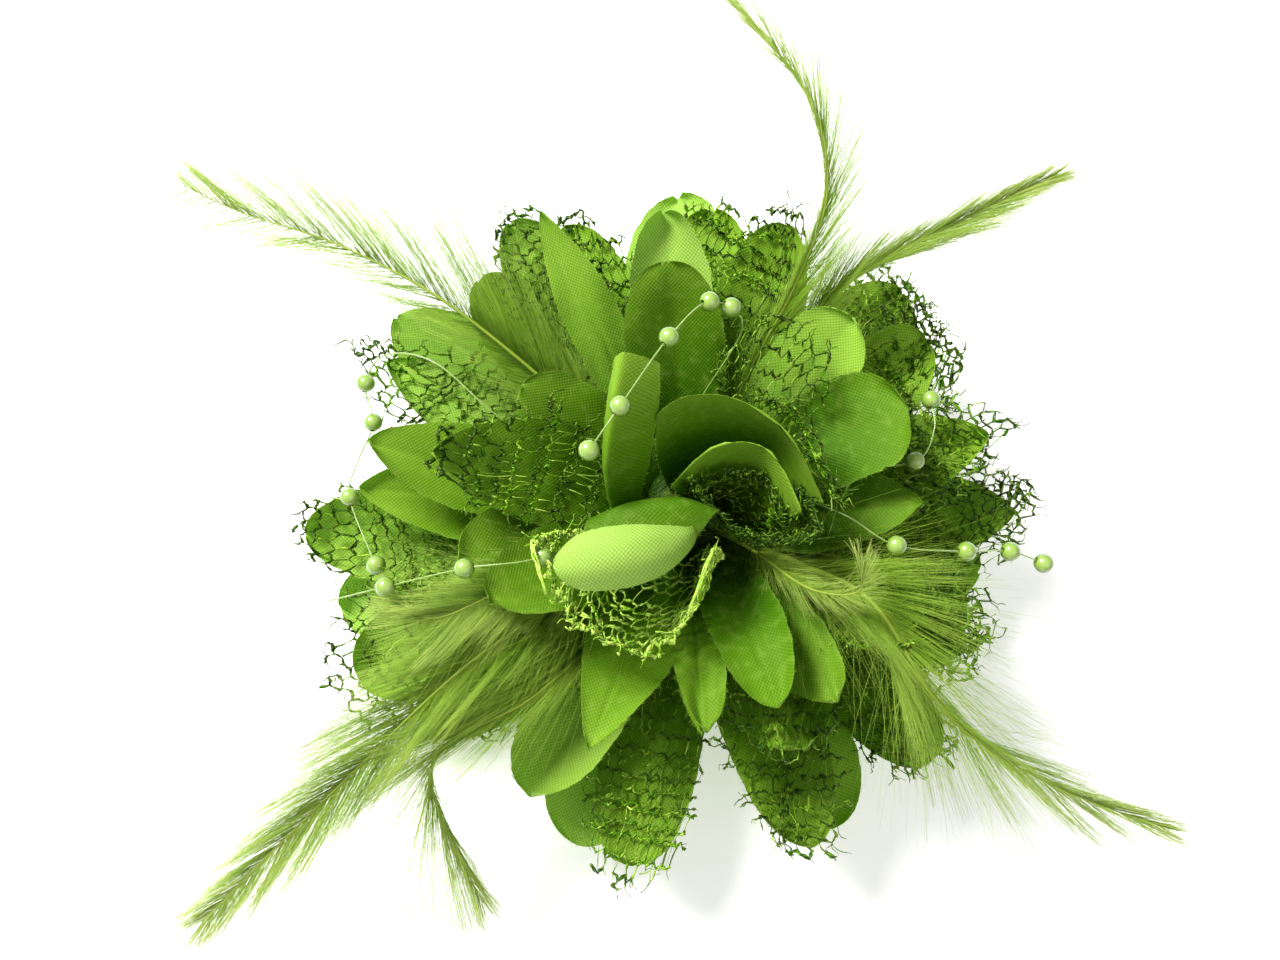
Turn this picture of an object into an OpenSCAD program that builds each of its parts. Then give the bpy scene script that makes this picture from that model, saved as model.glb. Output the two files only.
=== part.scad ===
// Fascinator headpiece: a layered flower of satin and net petals with
// feathers and pearl strands, on a felt disc that carries a hair clip and a
// brooch pin.
// Millimetres. +Z leaves the face of the flower, +X is to its right and +Y is
// its top. The origin is the centre of the felt disc's back face; the clip and
// the brooch pin lie behind it, at negative Z.

/* [Show] */
// Which sub-part to draw

/* [Petals] */
// Thickness of the satin cloth
satin_t = 0.4; // [0.3:0.05:0.45]
// Thickness of the net cloth
net_t = 0.3; // [0.2:0.05:0.35]
// Width of the widest petals, as a share of the design width
petal_breadth = 1.0; // [0.8:0.05:1]
// Width of a petal where it leaves the middle
petal_foot = 4.6; // [3.5:0.1:5]
// Radius of the flat middle that all petals of a layer share
hub_r = 8; // [7.5:0.25:8.5]

/* [Feathers and pearls] */
// Radius of a quill
quill_r = 0.5; // [0.3:0.05:0.6]
// Width of the feather blades, as a share of the design width
feather_breadth = 1.0; // [0.6:0.05:1]
// Diameter of a pearl
pearl_d = 3.5; // [3:0.1:3.6]
// Radius of the thread that carries the pearls
thread_r = 0.2; // [0.12:0.02:0.24]

/* [Backing] */
// Diameter of the felt disc
felt_d = 50; // [46:1:54]
// Thickness of the felt disc
felt_t = 1.5; // [1.2:0.1:1.5]

/* [Hair clip] */
// Width of the clip's arms
clip_w = 9; // [8.6:0.1:10]
// Sheet thickness of the clip
clip_t = 0.8; // [0.6:0.05:0.8]
// Radius of the hinge pin
clip_pin_r = 0.75; // [0.6:0.05:0.8]
// Turns in the clip's spring
spring_turns = 4; // [3:1:4]

/* [Brooch pin] */
// Radius of the needle
needle_r = 0.4; // [0.3:0.05:0.45]
// How far the needle's point reaches past the origin
needle_tip_x = 14; // [13:0.5:15]

/* [Hidden] */

satin_colour = [0.45, 0.74, 0.22];
net_colour = [0.30, 0.52, 0.14];
feather_colour = [0.60, 0.78, 0.30];
pearl_colour = [0.72, 0.90, 0.50];
felt_colour = [0.20, 0.34, 0.12];
glue_colour = [0.82, 0.84, 0.74];
stitch_colour = [0.25, 0.45, 0.15];
metal_colour = [0.75, 0.76, 0.78];
spring_colour = [0.6, 0.6, 0.62];

cut_over = 1;  // how far a cutter passes each face it cuts

// ---- shared helpers --------------------------------------------------------
function unit(v) = v / norm(v);
function mix(a, b, share) = a + (b - a) * share;
function on_circle(radius, angle, z) = [radius * cos(angle), radius * sin(angle), z];

// four corners, counter-clockwise from outside, as two triangles
function quad(a, b, c, d) = [[a, c, b], [a, d, c]];
// wall between two rings of points
function band(from, to, sides) = [
    for (j = [0:sides - 1])
        let (next = (j + 1) % sides)
        each quad(from * sides + j, from * sides + next, to * sides + next, to * sides + j)];
// closed rod over the rings 0 .. last
function rod_faces(last, sides) = [
    for (i = [0:last - 1]) each band(i, i + 1, sides),
    for (j = [1:sides - 2]) [0, j, j + 1],
    for (j = [1:sides - 2]) [last * sides, last * sides + j + 1, last * sides + j]];

// ---- the stack of layers in the middle -------------------------------------
hole_r = 2.6;      // hole in the middle of every layer
stud_r = 2.0;
stack_gap = 0.5;   // glue between two layers
stack_bottom = 2.6;
NET = 0;
SATIN = 1;
QUILL_PAD = 2;     // glue in which the quills are set
THREAD_PAD = 3;    // glue in which the upper threads are set
KIND_T = [net_t, satin_t, 2.2, 1.5];  // thickness of each kind
// kinds of sheet, from the bottom up
SHEETS = [SATIN, SATIN, NET, SATIN, NET, SATIN, NET, SATIN, NET, QUILL_PAD,
    SATIN, SATIN, NET, THREAD_PAD, SATIN, NET];
quill_pad_sheet = 9;
thread_pad_sheet = 13;
top_sheet = len(SHEETS) - 1;

function is_pad(i) = SHEETS[i] >= QUILL_PAD;
function sheet_t(i) = KIND_T[SHEETS[i]];
// no glue ring on either side of a pad, which is glue itself
function gap_above(i) = is_pad(i) || is_pad(i + 1) ? 0 : stack_gap;
// underside of a sheet
function sheet_z(i) = i == 0 ? stack_bottom : sheet_z(i - 1) + sheet_t(i - 1) + gap_above(i - 1);
stack_top = sheet_z(top_sheet) + sheet_t(top_sheet);

// ---- petal tables ----------------------------------------------------------
// Columns of a petal's row
AIM = 0;      // direction in degrees
REACH = 1;    // radius of the tip
TIP_Z = 2;    // height of the tip
WIDTH = 3;
BEND_R = 4;   // where the middle line bends, as a share of the reach
BEND_Z = 5;   // and as a share of the rise
CUP = 6;      // how much it is cupped
TWIST = 7;    // degrees it is twisted at the tip
FOLD = 8;     // how sharply it is folded along its middle

// a full layer: seven like petals, each nudged off its even direction
ring_count = 7;
function ring(start, nudge, reach, tip_z, width, bend_r, bend_z, cup) = [
    for (i = [0:ring_count - 1])
        [start + i * 360 / ring_count + nudge[i], reach[i], tip_z[i], width, bend_r, bend_z,
            cup, i % 2 == 0 ? 6 : -7, 0]];

LAYER_1 = ring(start = 42, nudge = [5, 0, 0, 0, 1, -2, -2],
    reach = [62, 72, 74, 70, 65, 64, 57], tip_z = [7, 6, 7, 5, 5, 5, 6],
    width = 19, bend_r = 0.5, bend_z = 0.1, cup = 0.7);
LAYER_2 = ring(start = 55, nudge = [-9, 6, -3, -2, 0, 3, -6],
    reach = [64, 67, 68, 70, 66, 64, 63], tip_z = [12, 12, 12, 10, 10, 9, 11],
    width = 18, bend_r = 0.5, bend_z = 0.2, cup = 0.8);
LAYER_3 = ring(start = 32, nudge = [-1, 0, -3, 0, 4, 1, -3],
    reach = [57, 62, 62, 73, 61, 65, 55], tip_z = [17, 18, 18, 15.5, 14, 14, 16],
    width = 18, bend_r = 0.5, bend_z = 0.3, cup = 0.8);
LAYER_4 = ring(start = 20, nudge = [-6, 0, -1, 3, -2, 14, 1],
    reach = [57, 58, 66, 62, 64, 50, 56], tip_z = [21, 24, 24, 21, 19, 23, 20],
    width = 17, bend_r = 0.5, bend_z = 0.4, cup = 0.8);
LAYER_5 = [
    [18, 44, 22, 16, 0.5, 0.45, 0.6, 0, 0],
    [69, 43, 23, 16, 0.5, 0.45, 0.6, 0, 0],
    [118, 60, 33, 10, 0.5, 0.45, 0, -10, 1.6],
    [173, 60, 28, 16, 0.5, 0.45, 0.6, 6, 0],
    [224, 38, 18, 15, 0.5, 0.45, 0.6, 0, 0],
    [273, 46, 30, 9, 0.5, 0.45, 0, 8, 1.2],
    [326, 46, 26, 15, 0.5, 0.45, 0.6, 0, 0]];
LAYER_6 = [
    [46, 42, 34, 16, 0.45, 0.5, 0.8, 0, 0],
    [96, 52, 34, 17, 0.45, 0.5, 0.9, 0, 0],
    [148, 36, 31, 14, 0.45, 0.5, 0.8, 0, 0],
    [201, 44, 32, 16, 0.45, 0.5, 0.8, 0, 0],
    [247, 50, 30, 16, 0.45, 0.5, 0.9, 0, 0],
    [301, 46, 30, 13, 0.45, 0.5, 0.8, 0, 0],
    [352, 40, 31, 15, 0.45, 0.5, 0.8, 0, 0]];
LAYER_7 = [
    [20, 37, 38, 17, 0.4, 0.6, 0.8, 0, 0],
    [97, 38, 41, 15, 0.4, 0.6, 0.8, 0, 0],
    [174, 46, 38, 18, 0.4, 0.6, 1.0, 0, 0],
    [215, 42, 36, 14, 0.4, 0.6, 0.8, 0, 0],
    [267, 44, 36, 8, 0.4, 0.6, 0, 0, 1.0]];
LAYER_8 = [
    [69, 13, 46, 14, 0.3, 0.5, 1.6, 0, 0],
    [124, 18, 50, 13, 0.3, 0.5, 0, 0, 2.4],
    [219, 31, 46, 12, -0.5, 1.25, -0.8, 0, 0],
    [288, 42, 38, 13, 0.4, 0.66, 0.8, 0, 0],
    [344, 20, 42, 15, 0.3, 0.5, 1.6, 0, 0]];

// a net petal lies on the satin petal of its layer and reaches past its tip,
// rising on the way as a line from slope_z at the hub to the satin's tip does
net_over = 1.95;
slope_z = 10;
function net_on(petal, longer) = [
    for (i = [AIM:FOLD])
        i == REACH ? petal[REACH] + longer
        : i == TIP_Z ? petal[TIP_Z] + net_over
            + longer * (petal[TIP_Z] - slope_z) / (petal[REACH] - hub_r)
        : petal[i]];
function nets(layer, which, longer) = [for (i = which) net_on(layer[i], longer)];
NET_2 = nets(LAYER_2, which = [0:6], longer = 1.5);
NET_3 = nets(LAYER_3, which = [0, 1, 3, 5, 6], longer = 1.5);
NET_4 = nets(LAYER_4, which = [0, 1, 2, 4, 5, 6], longer = 1.5);
NET_5 = nets(LAYER_5, which = [0, 1, 6], longer = 1);
NET_7 = concat(
    [[47, 33, 39, 16, 0.4, 0.55, 0.8, 0, 0]],
    nets(LAYER_7, which = [2], longer = 1));
NET_8 = [
    [264, 33, 43, 16, 0.2, 0.8, -0.8, 0, 0],
    [344, 16, 42, 13, 0.3, 0.5, 1.6, 0, 0]];

// ---- petal shape -----------------------------------------------------------
across = 4;                                    // facets across a petal
ROWS = [0, 0.2, 0.42, 0.64, 0.82, 0.94, 1];    // shares of the length with points
widest = 0.62;                                 // share of the length at full width
outline_end = 1.015;                           // where the width would reach zero
gap_points = 3;                                // points on the rim between two petals

// half width at share s of the length; foot is its value at the hub
function outline(s, foot) = s < widest
    ? foot + (1 - foot) * sin(90 * s / widest)
    : sqrt(1 - pow((s - widest) / (outline_end - widest), 2));

function turn_z(p, angle) = [
    p[0] * cos(angle) - p[1] * sin(angle),
    p[0] * sin(angle) + p[1] * cos(angle),
    p[2]];
// the middle line, aimed along +X: three control points of a Bezier curve
function petal_controls(petal, z, hub) = [
    [hub, 0, z],
    [hub + petal[BEND_R] * (petal[REACH] - hub), 0, z + petal[BEND_Z] * (petal[TIP_Z] - z)],
    [petal[REACH], 0, petal[TIP_Z]]];
function bezier(c, s) = c[0] * (1 - s) * (1 - s) + c[1] * 2 * s * (1 - s) + c[2] * s * s;
function bezier_heading(c, s) = unit((c[1] - c[0]) * (1 - s) + (c[2] - c[1]) * s);
function offset_share(col) = 2 * col / across - 1;
function foot_angle(petal, col, hub) =
    petal[AIM] + offset_share(col) * petal_foot / 2 / hub * 180 / PI;

// one point of a petal: col runs across it, side is +1 on its face, -1 behind
function petal_point(petal, z, thick, hub, s, col, side) =
    s == 0
    ? on_circle(hub, foot_angle(petal, col, hub), z + side * thick / 2)
    : let (
        share = offset_share(col),
        controls = petal_controls(petal, z, hub),
        ahead = bezier_heading(controls, s),
        half_w = petal[WIDTH] * petal_breadth / 2,
        twist = petal[TWIST] * s,
        sideways = [0, 1, 0] * cos(twist) + cross(ahead, [0, 1, 0]) * sin(twist),
        normal = cross(ahead, sideways),
        out = half_w * outline(s, petal_foot / 2 / half_w) * share,
        lift = s * (petal[CUP] * share * share * 2 + petal[FOLD] * abs(share)))
        turn_z(bezier(controls, s) + sideways * out + normal * (lift + side * thick / 2),
            petal[AIM]);

// A flat ring with a hole, and petals that leave its rim. Points come in
// pairs, behind (0) and face (1): first the petals, then the rim between
// petals, then the hole.
module corolla(layer, z, thick, hub) {
    last = len(layer) - 1;
    cols = across + 1;
    rows = len(ROWS);
    tip = rows - 1;
    per_petal = cols + gap_points;
    rim_count = len(layer) * per_petal;
    gap_start = len(layer) * rows * cols * 2;
    hole_start = gap_start + len(layer) * gap_points * 2;

    function at(i, row, col, side) = ((i * rows + row) * cols + col) * 2 + side;
    function rim_angle(i, q) = q < cols
        ? foot_angle(layer[i], q, hub)
        : let (
            from = foot_angle(layer[i], across, hub),
            to = i == last
                ? foot_angle(layer[0], 0, hub) + 360
                : foot_angle(layer[i + 1], 0, hub))
            mix(from, to, (q - across) / (gap_points + 1));
    // b counts steps around the whole rim
    function inner(b, side) = hole_start + (b % rim_count) * 2 + side;
    function outer(b, side) =
        let (step = b % rim_count, i = floor(step / per_petal), q = step % per_petal)
        q < cols ? at(i, 0, q, side) : gap_start + (i * gap_points + q - cols) * 2 + side;

    points = [
        for (petal = layer, s = ROWS, col = [0:across], side = [-1, 1])
            petal_point(petal, z, thick, hub, s, col, side),
        for (i = [0:last], q = [cols:per_petal - 1], side = [-1, 1])
            on_circle(hub, rim_angle(i, q), z + side * thick / 2),
        for (i = [0:last], q = [0:per_petal - 1], side = [-1, 1])
            on_circle(hole_r, rim_angle(i, q), z + side * thick / 2)];
    faces = [
        // petals: face and back
        for (i = [0:last], s = [0:tip - 1], j = [0:across - 1]) each concat(
            quad(at(i, s, j, 1), at(i, s + 1, j, 1), at(i, s + 1, j + 1, 1), at(i, s, j + 1, 1)),
            quad(at(i, s, j, 0), at(i, s, j + 1, 0), at(i, s + 1, j + 1, 0), at(i, s + 1, j, 0))),
        // petals: long edges
        for (i = [0:last], s = [0:tip - 1]) each concat(
            quad(at(i, s, 0, 0), at(i, s + 1, 0, 0), at(i, s + 1, 0, 1), at(i, s, 0, 1)),
            quad(at(i, s, across, 1), at(i, s + 1, across, 1),
                at(i, s + 1, across, 0), at(i, s, across, 0))),
        // petals: tip edge
        for (i = [0:last], j = [0:across - 1])
            each quad(at(i, tip, j, 0), at(i, tip, j + 1, 0), at(i, tip, j + 1, 1), at(i, tip, j, 1)),
        // ring: face, back and hole
        for (b = [0:rim_count - 1]) each concat(
            quad(inner(b, 1), outer(b, 1), outer(b + 1, 1), inner(b + 1, 1)),
            quad(inner(b, 0), inner(b + 1, 0), outer(b + 1, 0), outer(b, 0)),
            quad(inner(b, 0), inner(b, 1), inner(b + 1, 1), inner(b + 1, 0))),
        // ring: rim between petals
        for (i = [0:last], q = [across:per_petal - 1])
            let (b = i * per_petal + q)
            each quad(outer(b, 0), outer(b + 1, 0), outer(b + 1, 1), outer(b, 1))];
    polyhedron(points = points, faces = faces, convexity = 8);
}

// sheet is the layer's place in SHEETS
module cloth(layer, sheet, hub) {
    thick = sheet_t(sheet);
    corolla(layer, sheet_z(sheet) + thick / 2, thick, hub);
}
module satin(layer, sheet) color(satin_colour) cloth(layer, sheet, hub_r);
// the net rises a little nearer the middle, so that it lies on the satin
module net(layer, sheet) color(net_colour) cloth(layer, sheet, hub_r - 1);

module satin_layer_1() satin(LAYER_1, sheet = 0);
module satin_layer_2() satin(LAYER_2, sheet = 1);
module net_layer_2() net(NET_2, sheet = 2);
module satin_layer_3() satin(LAYER_3, sheet = 3);
module net_layer_3() net(NET_3, sheet = 4);
module satin_layer_4() satin(LAYER_4, sheet = 5);
module net_layer_4() net(NET_4, sheet = 6);
module satin_layer_5() satin(LAYER_5, sheet = 7);
module net_layer_5() net(NET_5, sheet = 8);
module satin_layer_6() satin(LAYER_6, sheet = 10);
module satin_layer_7() satin(LAYER_7, sheet = 11);
module net_layer_7() net(NET_7, sheet = 12);
module satin_layer_8() satin(LAYER_8, sheet = 14);
module net_layer_8() net(NET_8, sheet = 15);

// ---- curves that feathers and threads follow -------------------------------
// Catmull-Rom curve through the points of path, at t = 0 .. len(path) - 1
function knot(path, i) = path[max(0, min(len(path) - 1, i))];
function curve(path, t) =
    let (
        i = min(floor(t), len(path) - 2),
        u = t - i,
        a = knot(path, i - 1),
        b = knot(path, i),
        c = knot(path, i + 1),
        d = knot(path, i + 2))
    0.5 * (2 * b + (c - a) * u + (2 * a - 5 * b + 4 * c - d) * u * u
        + (3 * b - a - 3 * c + d) * u * u * u);
heading_step = 0.02;
function heading(path, t) = unit(
    curve(path, min(t + heading_step, len(path) - 1)) - curve(path, max(t - heading_step, 0)));

// first two points of a path, inside a pad and outside it; height is above the
// pad's floor
root_r = 4.8;
root_exit_r = 8.4;
root_rise = 0.4;
function roots(aim, height, sheet = quill_pad_sheet) =
    let (z = sheet_z(sheet) + height)
    [on_circle(root_r, aim, z), on_circle(root_exit_r, aim, z + root_rise)];

// a rod along path; section(s) lists its [across, up] points at share s
module sweep(path, steps, section) {
    points = [
        for (k = [0:steps])
            let (
                t = k * (len(path) - 1) / steps,
                ahead = heading(path, t),
                sideways = unit(cross([0, 0, 1], ahead)),
                up = cross(ahead, sideways))
            for (v = section(k / steps)) curve(path, t) + sideways * v[0] + up * v[1]];
    polyhedron(points = points, faces = rod_faces(steps, len(section(0))), convexity = 8);
}

// ---- feathers --------------------------------------------------------------
quill_tip_r = 0.2;
rib_share = 0.3;       // half width of the thick middle, as a share of the blade's
blade_skew = 0.8;      // below 1 moves the widest place toward the root
blade_fullness = 0.8;  // below 1 fills out the blade's ends
blade_fade = 0.35;     // share of the width lost toward the tip

// bare quill for the first share of the length, then a blade that swells and
// runs out to a point
function blade_half(s, bare, width) = s < bare
    ? quill_r
    : let (q = (s - bare) / (1 - bare))
        quill_r + (width * feather_breadth / 2 - quill_r)
            * pow(sin(180 * pow(q, blade_skew)), blade_fullness) * (1 - blade_fade * q);
function feather_section(s, bare, width) =
    let (
        edge = blade_half(s, bare, width),
        rib = edge * rib_share,
        thick = mix(quill_r, quill_tip_r, s))
    [[edge, 0], [rib, thick], [-rib, thick], [-edge, 0], [-rib, -thick], [rib, -thick]];
module feather(path, width, bare, steps = 16) color(feather_colour)
    sweep(path, steps, function (s) feather_section(s, bare, width));

// paths: [x, y, z] from root to tip
FEATHER_UPPER_LEFT = concat(roots(137, 1.1),
    [[-22, 20, 18], [-44, 38, 27], [-66, 50, 30], [-98, 61, 31]]);
FEATHER_TOP = concat(roots(66, 1.0),
    [[11, 24, 23], [19, 37, 34], [24, 51, 43], [20, 68, 49], [4, 88, 52]]);
FEATHER_UPPER_RIGHT = concat(roots(50, 1.1),
    [[16, 22, 20], [27, 38, 30], [46, 48, 33], [71, 62, 31]]);
FEATHER_LOWER_LEFT = concat(roots(228, 1.0),
    [[-20, -17, 18], [-39, -32, 27], [-60, -52, 25], [-84, -74, 16]]);
FEATHER_LEFT_SHORT = concat(roots(200, 1.1),
    [[-19, -11, 19], [-34, -20, 29], [-45, -25, 31], [-53, -21, 29]]);
FEATHER_LOWER_DROP = concat(roots(243, 1.1),
    [[-11, -20, 17], [-28, -37, 23], [-45, -49, 24.5], [-37, -71, 13]]);
FEATHER_LOWER_RIGHT = concat(roots(330, 1.1),
    [[18, -12, 19], [30, -22, 30], [42, -41, 28], [60, -52, 23], [81, -59, 18]]);
FEATHER_CENTRE_CURL = concat(roots(316, 0.8, thread_pad_sheet),
    [[11, -11, 22], [19, -20, 32], [26, -22, 38], [27, -17, 40]]);

module feather_upper_left() feather(FEATHER_UPPER_LEFT, width = 9, bare = 0.25);
module feather_top() feather(FEATHER_TOP, width = 6, bare = 0.3, steps = 18);
module feather_upper_right() feather(FEATHER_UPPER_RIGHT, width = 7, bare = 0.3);
module feather_lower_left() feather(FEATHER_LOWER_LEFT, width = 9, bare = 0.28);
module feather_left_short() feather(FEATHER_LEFT_SHORT, width = 5, bare = 0.3);
module feather_lower_drop() feather(FEATHER_LOWER_DROP, width = 5, bare = 0.3);
module feather_lower_right() feather(FEATHER_LOWER_RIGHT, width = 8, bare = 0.3, steps = 18);
module feather_centre_curl() feather(FEATHER_CENTRE_CURL, width = 3.5, bare = 0.35);

// ---- pearl strands ---------------------------------------------------------
bore_gap = 0.3;  // around the thread in a pearl

// paths: [x, y, z] from root to free end
STRAND_TOP = concat(roots(97, 0.75, thread_pad_sheet),
    [[1, 16, 26], [8, 24, 42], [2, 26, 48], [-5, 18, 51], [-13, 5, 53], [-19, -3, 50]]);
STRAND_LEFT = concat(roots(165, 0.8),
    [[-20, 5, 17], [-36, 14, 25], [-48, 24, 27], [-58, 27, 24], [-62, 22, 22],
    [-60, 14, 22], [-62, 6, 23], [-63, -1, 23], [-57, -14, 24]]);
STRAND_LOWER_LEFT = concat(roots(196, 0.75, thread_pad_sheet),
    [[-14, -6, 25], [-26, -16, 38], [-39, -18, 38], [-53, -20, 33], [-63, -22, 31]]);
STRAND_RIGHT = concat(roots(10, 0.75, thread_pad_sheet),
    [[14, 0, 24], [25, -7, 33], [34, -13, 34], [47, -13, 30], [56, -12, 26], [64, -14, 23]]);
STRAND_RIGHT_SHORT = concat(roots(8, 0.8),
    [[18, 5, 17], [29, 5, 21.5], [40, 4.5, 27.5], [43.5, 10, 29], [43.5, 16, 28.5],
    [45, 20, 27.5]]);

module thread(path) {
    hexagon = [for (k = [0:5]) [thread_r * cos(60 * k), thread_r * sin(60 * k)]];
    color(pearl_colour) sweep(path, 4 * (len(path) - 1), function (s) hexagon);
}
// pearls at the given places along the path, bored along the thread
module pearls(path, places) color(pearl_colour)
    for (t = places) {
        ahead = heading(path, t);
        translate(curve(path, t))
            rotate([0, acos(ahead[2]), atan2(ahead[1], ahead[0])])
                difference() {
                    sphere(d = pearl_d, $fn = 48);
                    cylinder(r = thread_r + bore_gap, h = pearl_d + 2 * cut_over,
                        center = true, $fn = 24);
                }
    }

module thread_top() thread(STRAND_TOP);
module thread_left() thread(STRAND_LEFT);
module thread_lower_left() thread(STRAND_LOWER_LEFT);
module thread_right() thread(STRAND_RIGHT);
module thread_right_short() thread(STRAND_RIGHT_SHORT);
module pearls_top() pearls(STRAND_TOP, [3.5, 4, 5, 6, 6.75]);
module pearls_left() pearls(STRAND_LEFT, [6, 7, 9, 10]);
module pearls_lower_left() pearls(STRAND_LOWER_LEFT, [3, 4, 5]);
module pearls_right() pearls(STRAND_RIGHT, [4, 5, 6, 6.75]);
module pearls_right_short() pearls(STRAND_RIGHT_SHORT, [4, 6]);

// ---- middle of the flower --------------------------------------------------
bar_y = 11;               // middle line of the brooch bar
sew_x = 7;                // stitches lie at -sew_x and +sew_x
sew_far_y = bar_y + 3.3;  // far end of a stitch, past the bar's edge
sew_hole_r = 0.45;
bed_r = 9;
layer_glue_r = 5.5;
pad_r = 6;
cap_r = 3.6;
cap_h = 2.4;

module backing_felt() color(felt_colour) difference() {
    cylinder(d = felt_d, h = felt_t, $fn = 96);
    for (x = [-sew_x, sew_x], y = [bar_y, sew_far_y])
        translate([x, y, -cut_over])
            cylinder(r = sew_hole_r, h = felt_t + 2 * cut_over, $fn = 24);
}
// ring of glue around the stud
module glue_ring(z, height, radius) color(glue_colour) translate([0, 0, z]) difference() {
    cylinder(r = radius, h = height, $fn = 64);
    translate([0, 0, -cut_over]) cylinder(r = stud_r, h = height + 2 * cut_over, $fn = 48);
}
module glue_bed() glue_ring(felt_t, stack_bottom - felt_t, bed_r);
module layer_glue()
    for (i = [0:top_sheet - 1])
        if (gap_above(i) > 0) glue_ring(sheet_z(i) + sheet_t(i), stack_gap, layer_glue_r);
module feather_glue()
    for (i = [quill_pad_sheet, thread_pad_sheet]) glue_ring(sheet_z(i), sheet_t(i), pad_r);
module centre_stud() color(felt_colour) translate([0, 0, felt_t])
    cylinder(r = stud_r, h = stack_top - felt_t, $fn = 48);
module stud_cap() color(felt_colour) translate([0, 0, stack_top]) rotate_extrude($fn = 64)
    polygon([[0, 0], [cap_r, 0], for (a = [15:15:75]) [cap_r * cos(a), cap_h * sin(a)],
        [0, cap_h]]);

// ---- stitches that hold the brooch bar -------------------------------------
bar_t = 0.8;
stitch_r = 0.15;
stitch_corner = 0.3;
stitch_sides = 6;
// closed loop of thread around the felt and the bar
module stitch(x) {
    low = -bar_t - stitch_r - 0.05;
    high = felt_t + stitch_r + 0.02;
    k = stitch_corner;
    // [y, z] of the thread's middle
    loop = [
        [bar_y, low + k], [bar_y, high - k], [bar_y + k, high], [sew_far_y - k, high],
        [sew_far_y, high - k], [sew_far_y, low + k], [sew_far_y - k, low], [bar_y + k, low]];
    count = len(loop);
    function outward(i) =
        let (
            before = loop[(i + count - 1) % count],
            here = loop[i],
            after = loop[(i + 1) % count],
            ahead = unit(unit(here - before) + unit(after - here)))
        [-ahead[1], ahead[0]];
    points = [
        for (i = [0:count - 1], j = [0:stitch_sides - 1])
            let (a = j * 360 / stitch_sides, p = loop[i] + outward(i) * stitch_r * cos(a))
            [x + stitch_r * sin(a), p[0], p[1]]];
    faces = [for (i = [0:count - 1]) each band(i, (i + 1) % count, stitch_sides)];
    polyhedron(points = points, faces = faces, convexity = 6);
}
module stitches() color(stitch_colour) for (x = [-sew_x, sew_x]) stitch(x);

// ---- helpers for the metal parts -------------------------------------------
pin_gap = 0.05;  // around a pin in its hole

// plate with an [x, z] outline, from y0 to y1
module plate_xz(outline, y0, y1)
    translate([0, y1, 0]) rotate([90, 0, 0]) linear_extrude(y1 - y0) polygon(outline);
// [x, z] outline of an ear that narrows from its root to its tip
function ear(x, root_z, root_half, tip_z, tip_half) = [
    [x - root_half, root_z], [x + root_half, root_z],
    [x + tip_half, tip_z], [x - tip_half, tip_z]];
// cutter along Y for a pin of the given radius, centred on centre
module pin_hole(centre, radius, length)
    translate(centre - [0, length / 2, 0]) rotate([-90, 0, 0])
        cylinder(r = radius + pin_gap, h = length, $fn = 48);
// pin along Y with a head at each end; head_at is from its middle to a head's
module headed_pin(centre, radius, length, head_r, head_t, head_at)
    color(metal_colour) translate(centre) rotate([-90, 0, 0]) {
        cylinder(r = radius, h = length, center = true, $fn = 48);
        for (s = [-1, 1])
            translate([0, 0, s * head_at]) cylinder(r = head_r, h = head_t, center = true, $fn = 48);
    }

// ---- hair clip -------------------------------------------------------------
clip_y = -8;
clip_back = -27;             // x of the handle's end
clip_front = 28;             // x of the jaw's end
hinge = [-9, clip_y, -3.6];
hinge_x = hinge[0];
hinge_z = hinge[2];
ear_t = 0.7;
ear_gap = 0.4;               // between the two arms' ears
moving_half = clip_w / 2 - ear_t - ear_gap;  // half width over the moving arm's ears
arm_z = hinge_z - 2.75;      // outer face of the moving arm
handle_z = -9.3;             // inner face of the handle at its end
handle_half = clip_w / 2 - 0.2;
neck_x = clip_back + 13;     // the handle narrows from here to the hinge
jaw_bend_z = -1.4;           // inner face where the jaw levels out
jaw_tip_z = -0.9;            // inner face at the jaw's end

module clip_hinge_hole() pin_hole(hinge, clip_pin_r, 40);
module clip_base_arm() color(metal_colour) difference() {
    union() {
        translate([clip_back, clip_y - clip_w / 2, -clip_t])
            cube([clip_front - clip_back, clip_w, clip_t]);
        for (y = [clip_y - clip_w / 2, clip_y + clip_w / 2 - ear_t])
            plate_xz(ear(hinge_x, root_z = -clip_t / 2, root_half = 3.6,
                tip_z = hinge_z - 1.9, tip_half = 1.9), y, y + ear_t);
    }
    clip_hinge_hole();
}
module clip_moving_arm() color(metal_colour) difference() {
    union() {
        // arm, and the jaw that closes toward the base arm
        plate_xz([
            [hinge_x + 2, arm_z], [18, arm_z], [25.5, jaw_bend_z - clip_t],
            [clip_front, jaw_tip_z - clip_t], [clip_front, jaw_tip_z], [25.8, jaw_bend_z],
            [18.5, arm_z + clip_t], [hinge_x + 2, arm_z + clip_t]],
            clip_y - moving_half, clip_y + moving_half);
        // handle, narrow between the base arm's ears
        difference() {
            plate_xz([
                [hinge_x + 2.2, arm_z + clip_t], [hinge_x - 2.6, arm_z + clip_t],
                [clip_back, handle_z], [clip_back, handle_z - clip_t],
                [hinge_x - 2.6, arm_z], [hinge_x + 2.2, arm_z]],
                clip_y - handle_half, clip_y + handle_half);
            for (y = [clip_y - moving_half - 10, clip_y + moving_half])
                translate([neck_x, y, -20]) cube([30, 10, 40]);
        }
        for (y = [clip_y - moving_half, clip_y + moving_half - ear_t])
            plate_xz(ear(hinge_x, root_z = arm_z + clip_t / 2, root_half = 2.4,
                tip_z = hinge_z + 1.7, tip_half = 1.8), y, y + ear_t);
    }
    clip_hinge_hole();
}
pin_head_t = 0.5;
pin_head_y = clip_w / 2 + 0.1;  // inner face of a head, from the clip's middle
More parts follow.
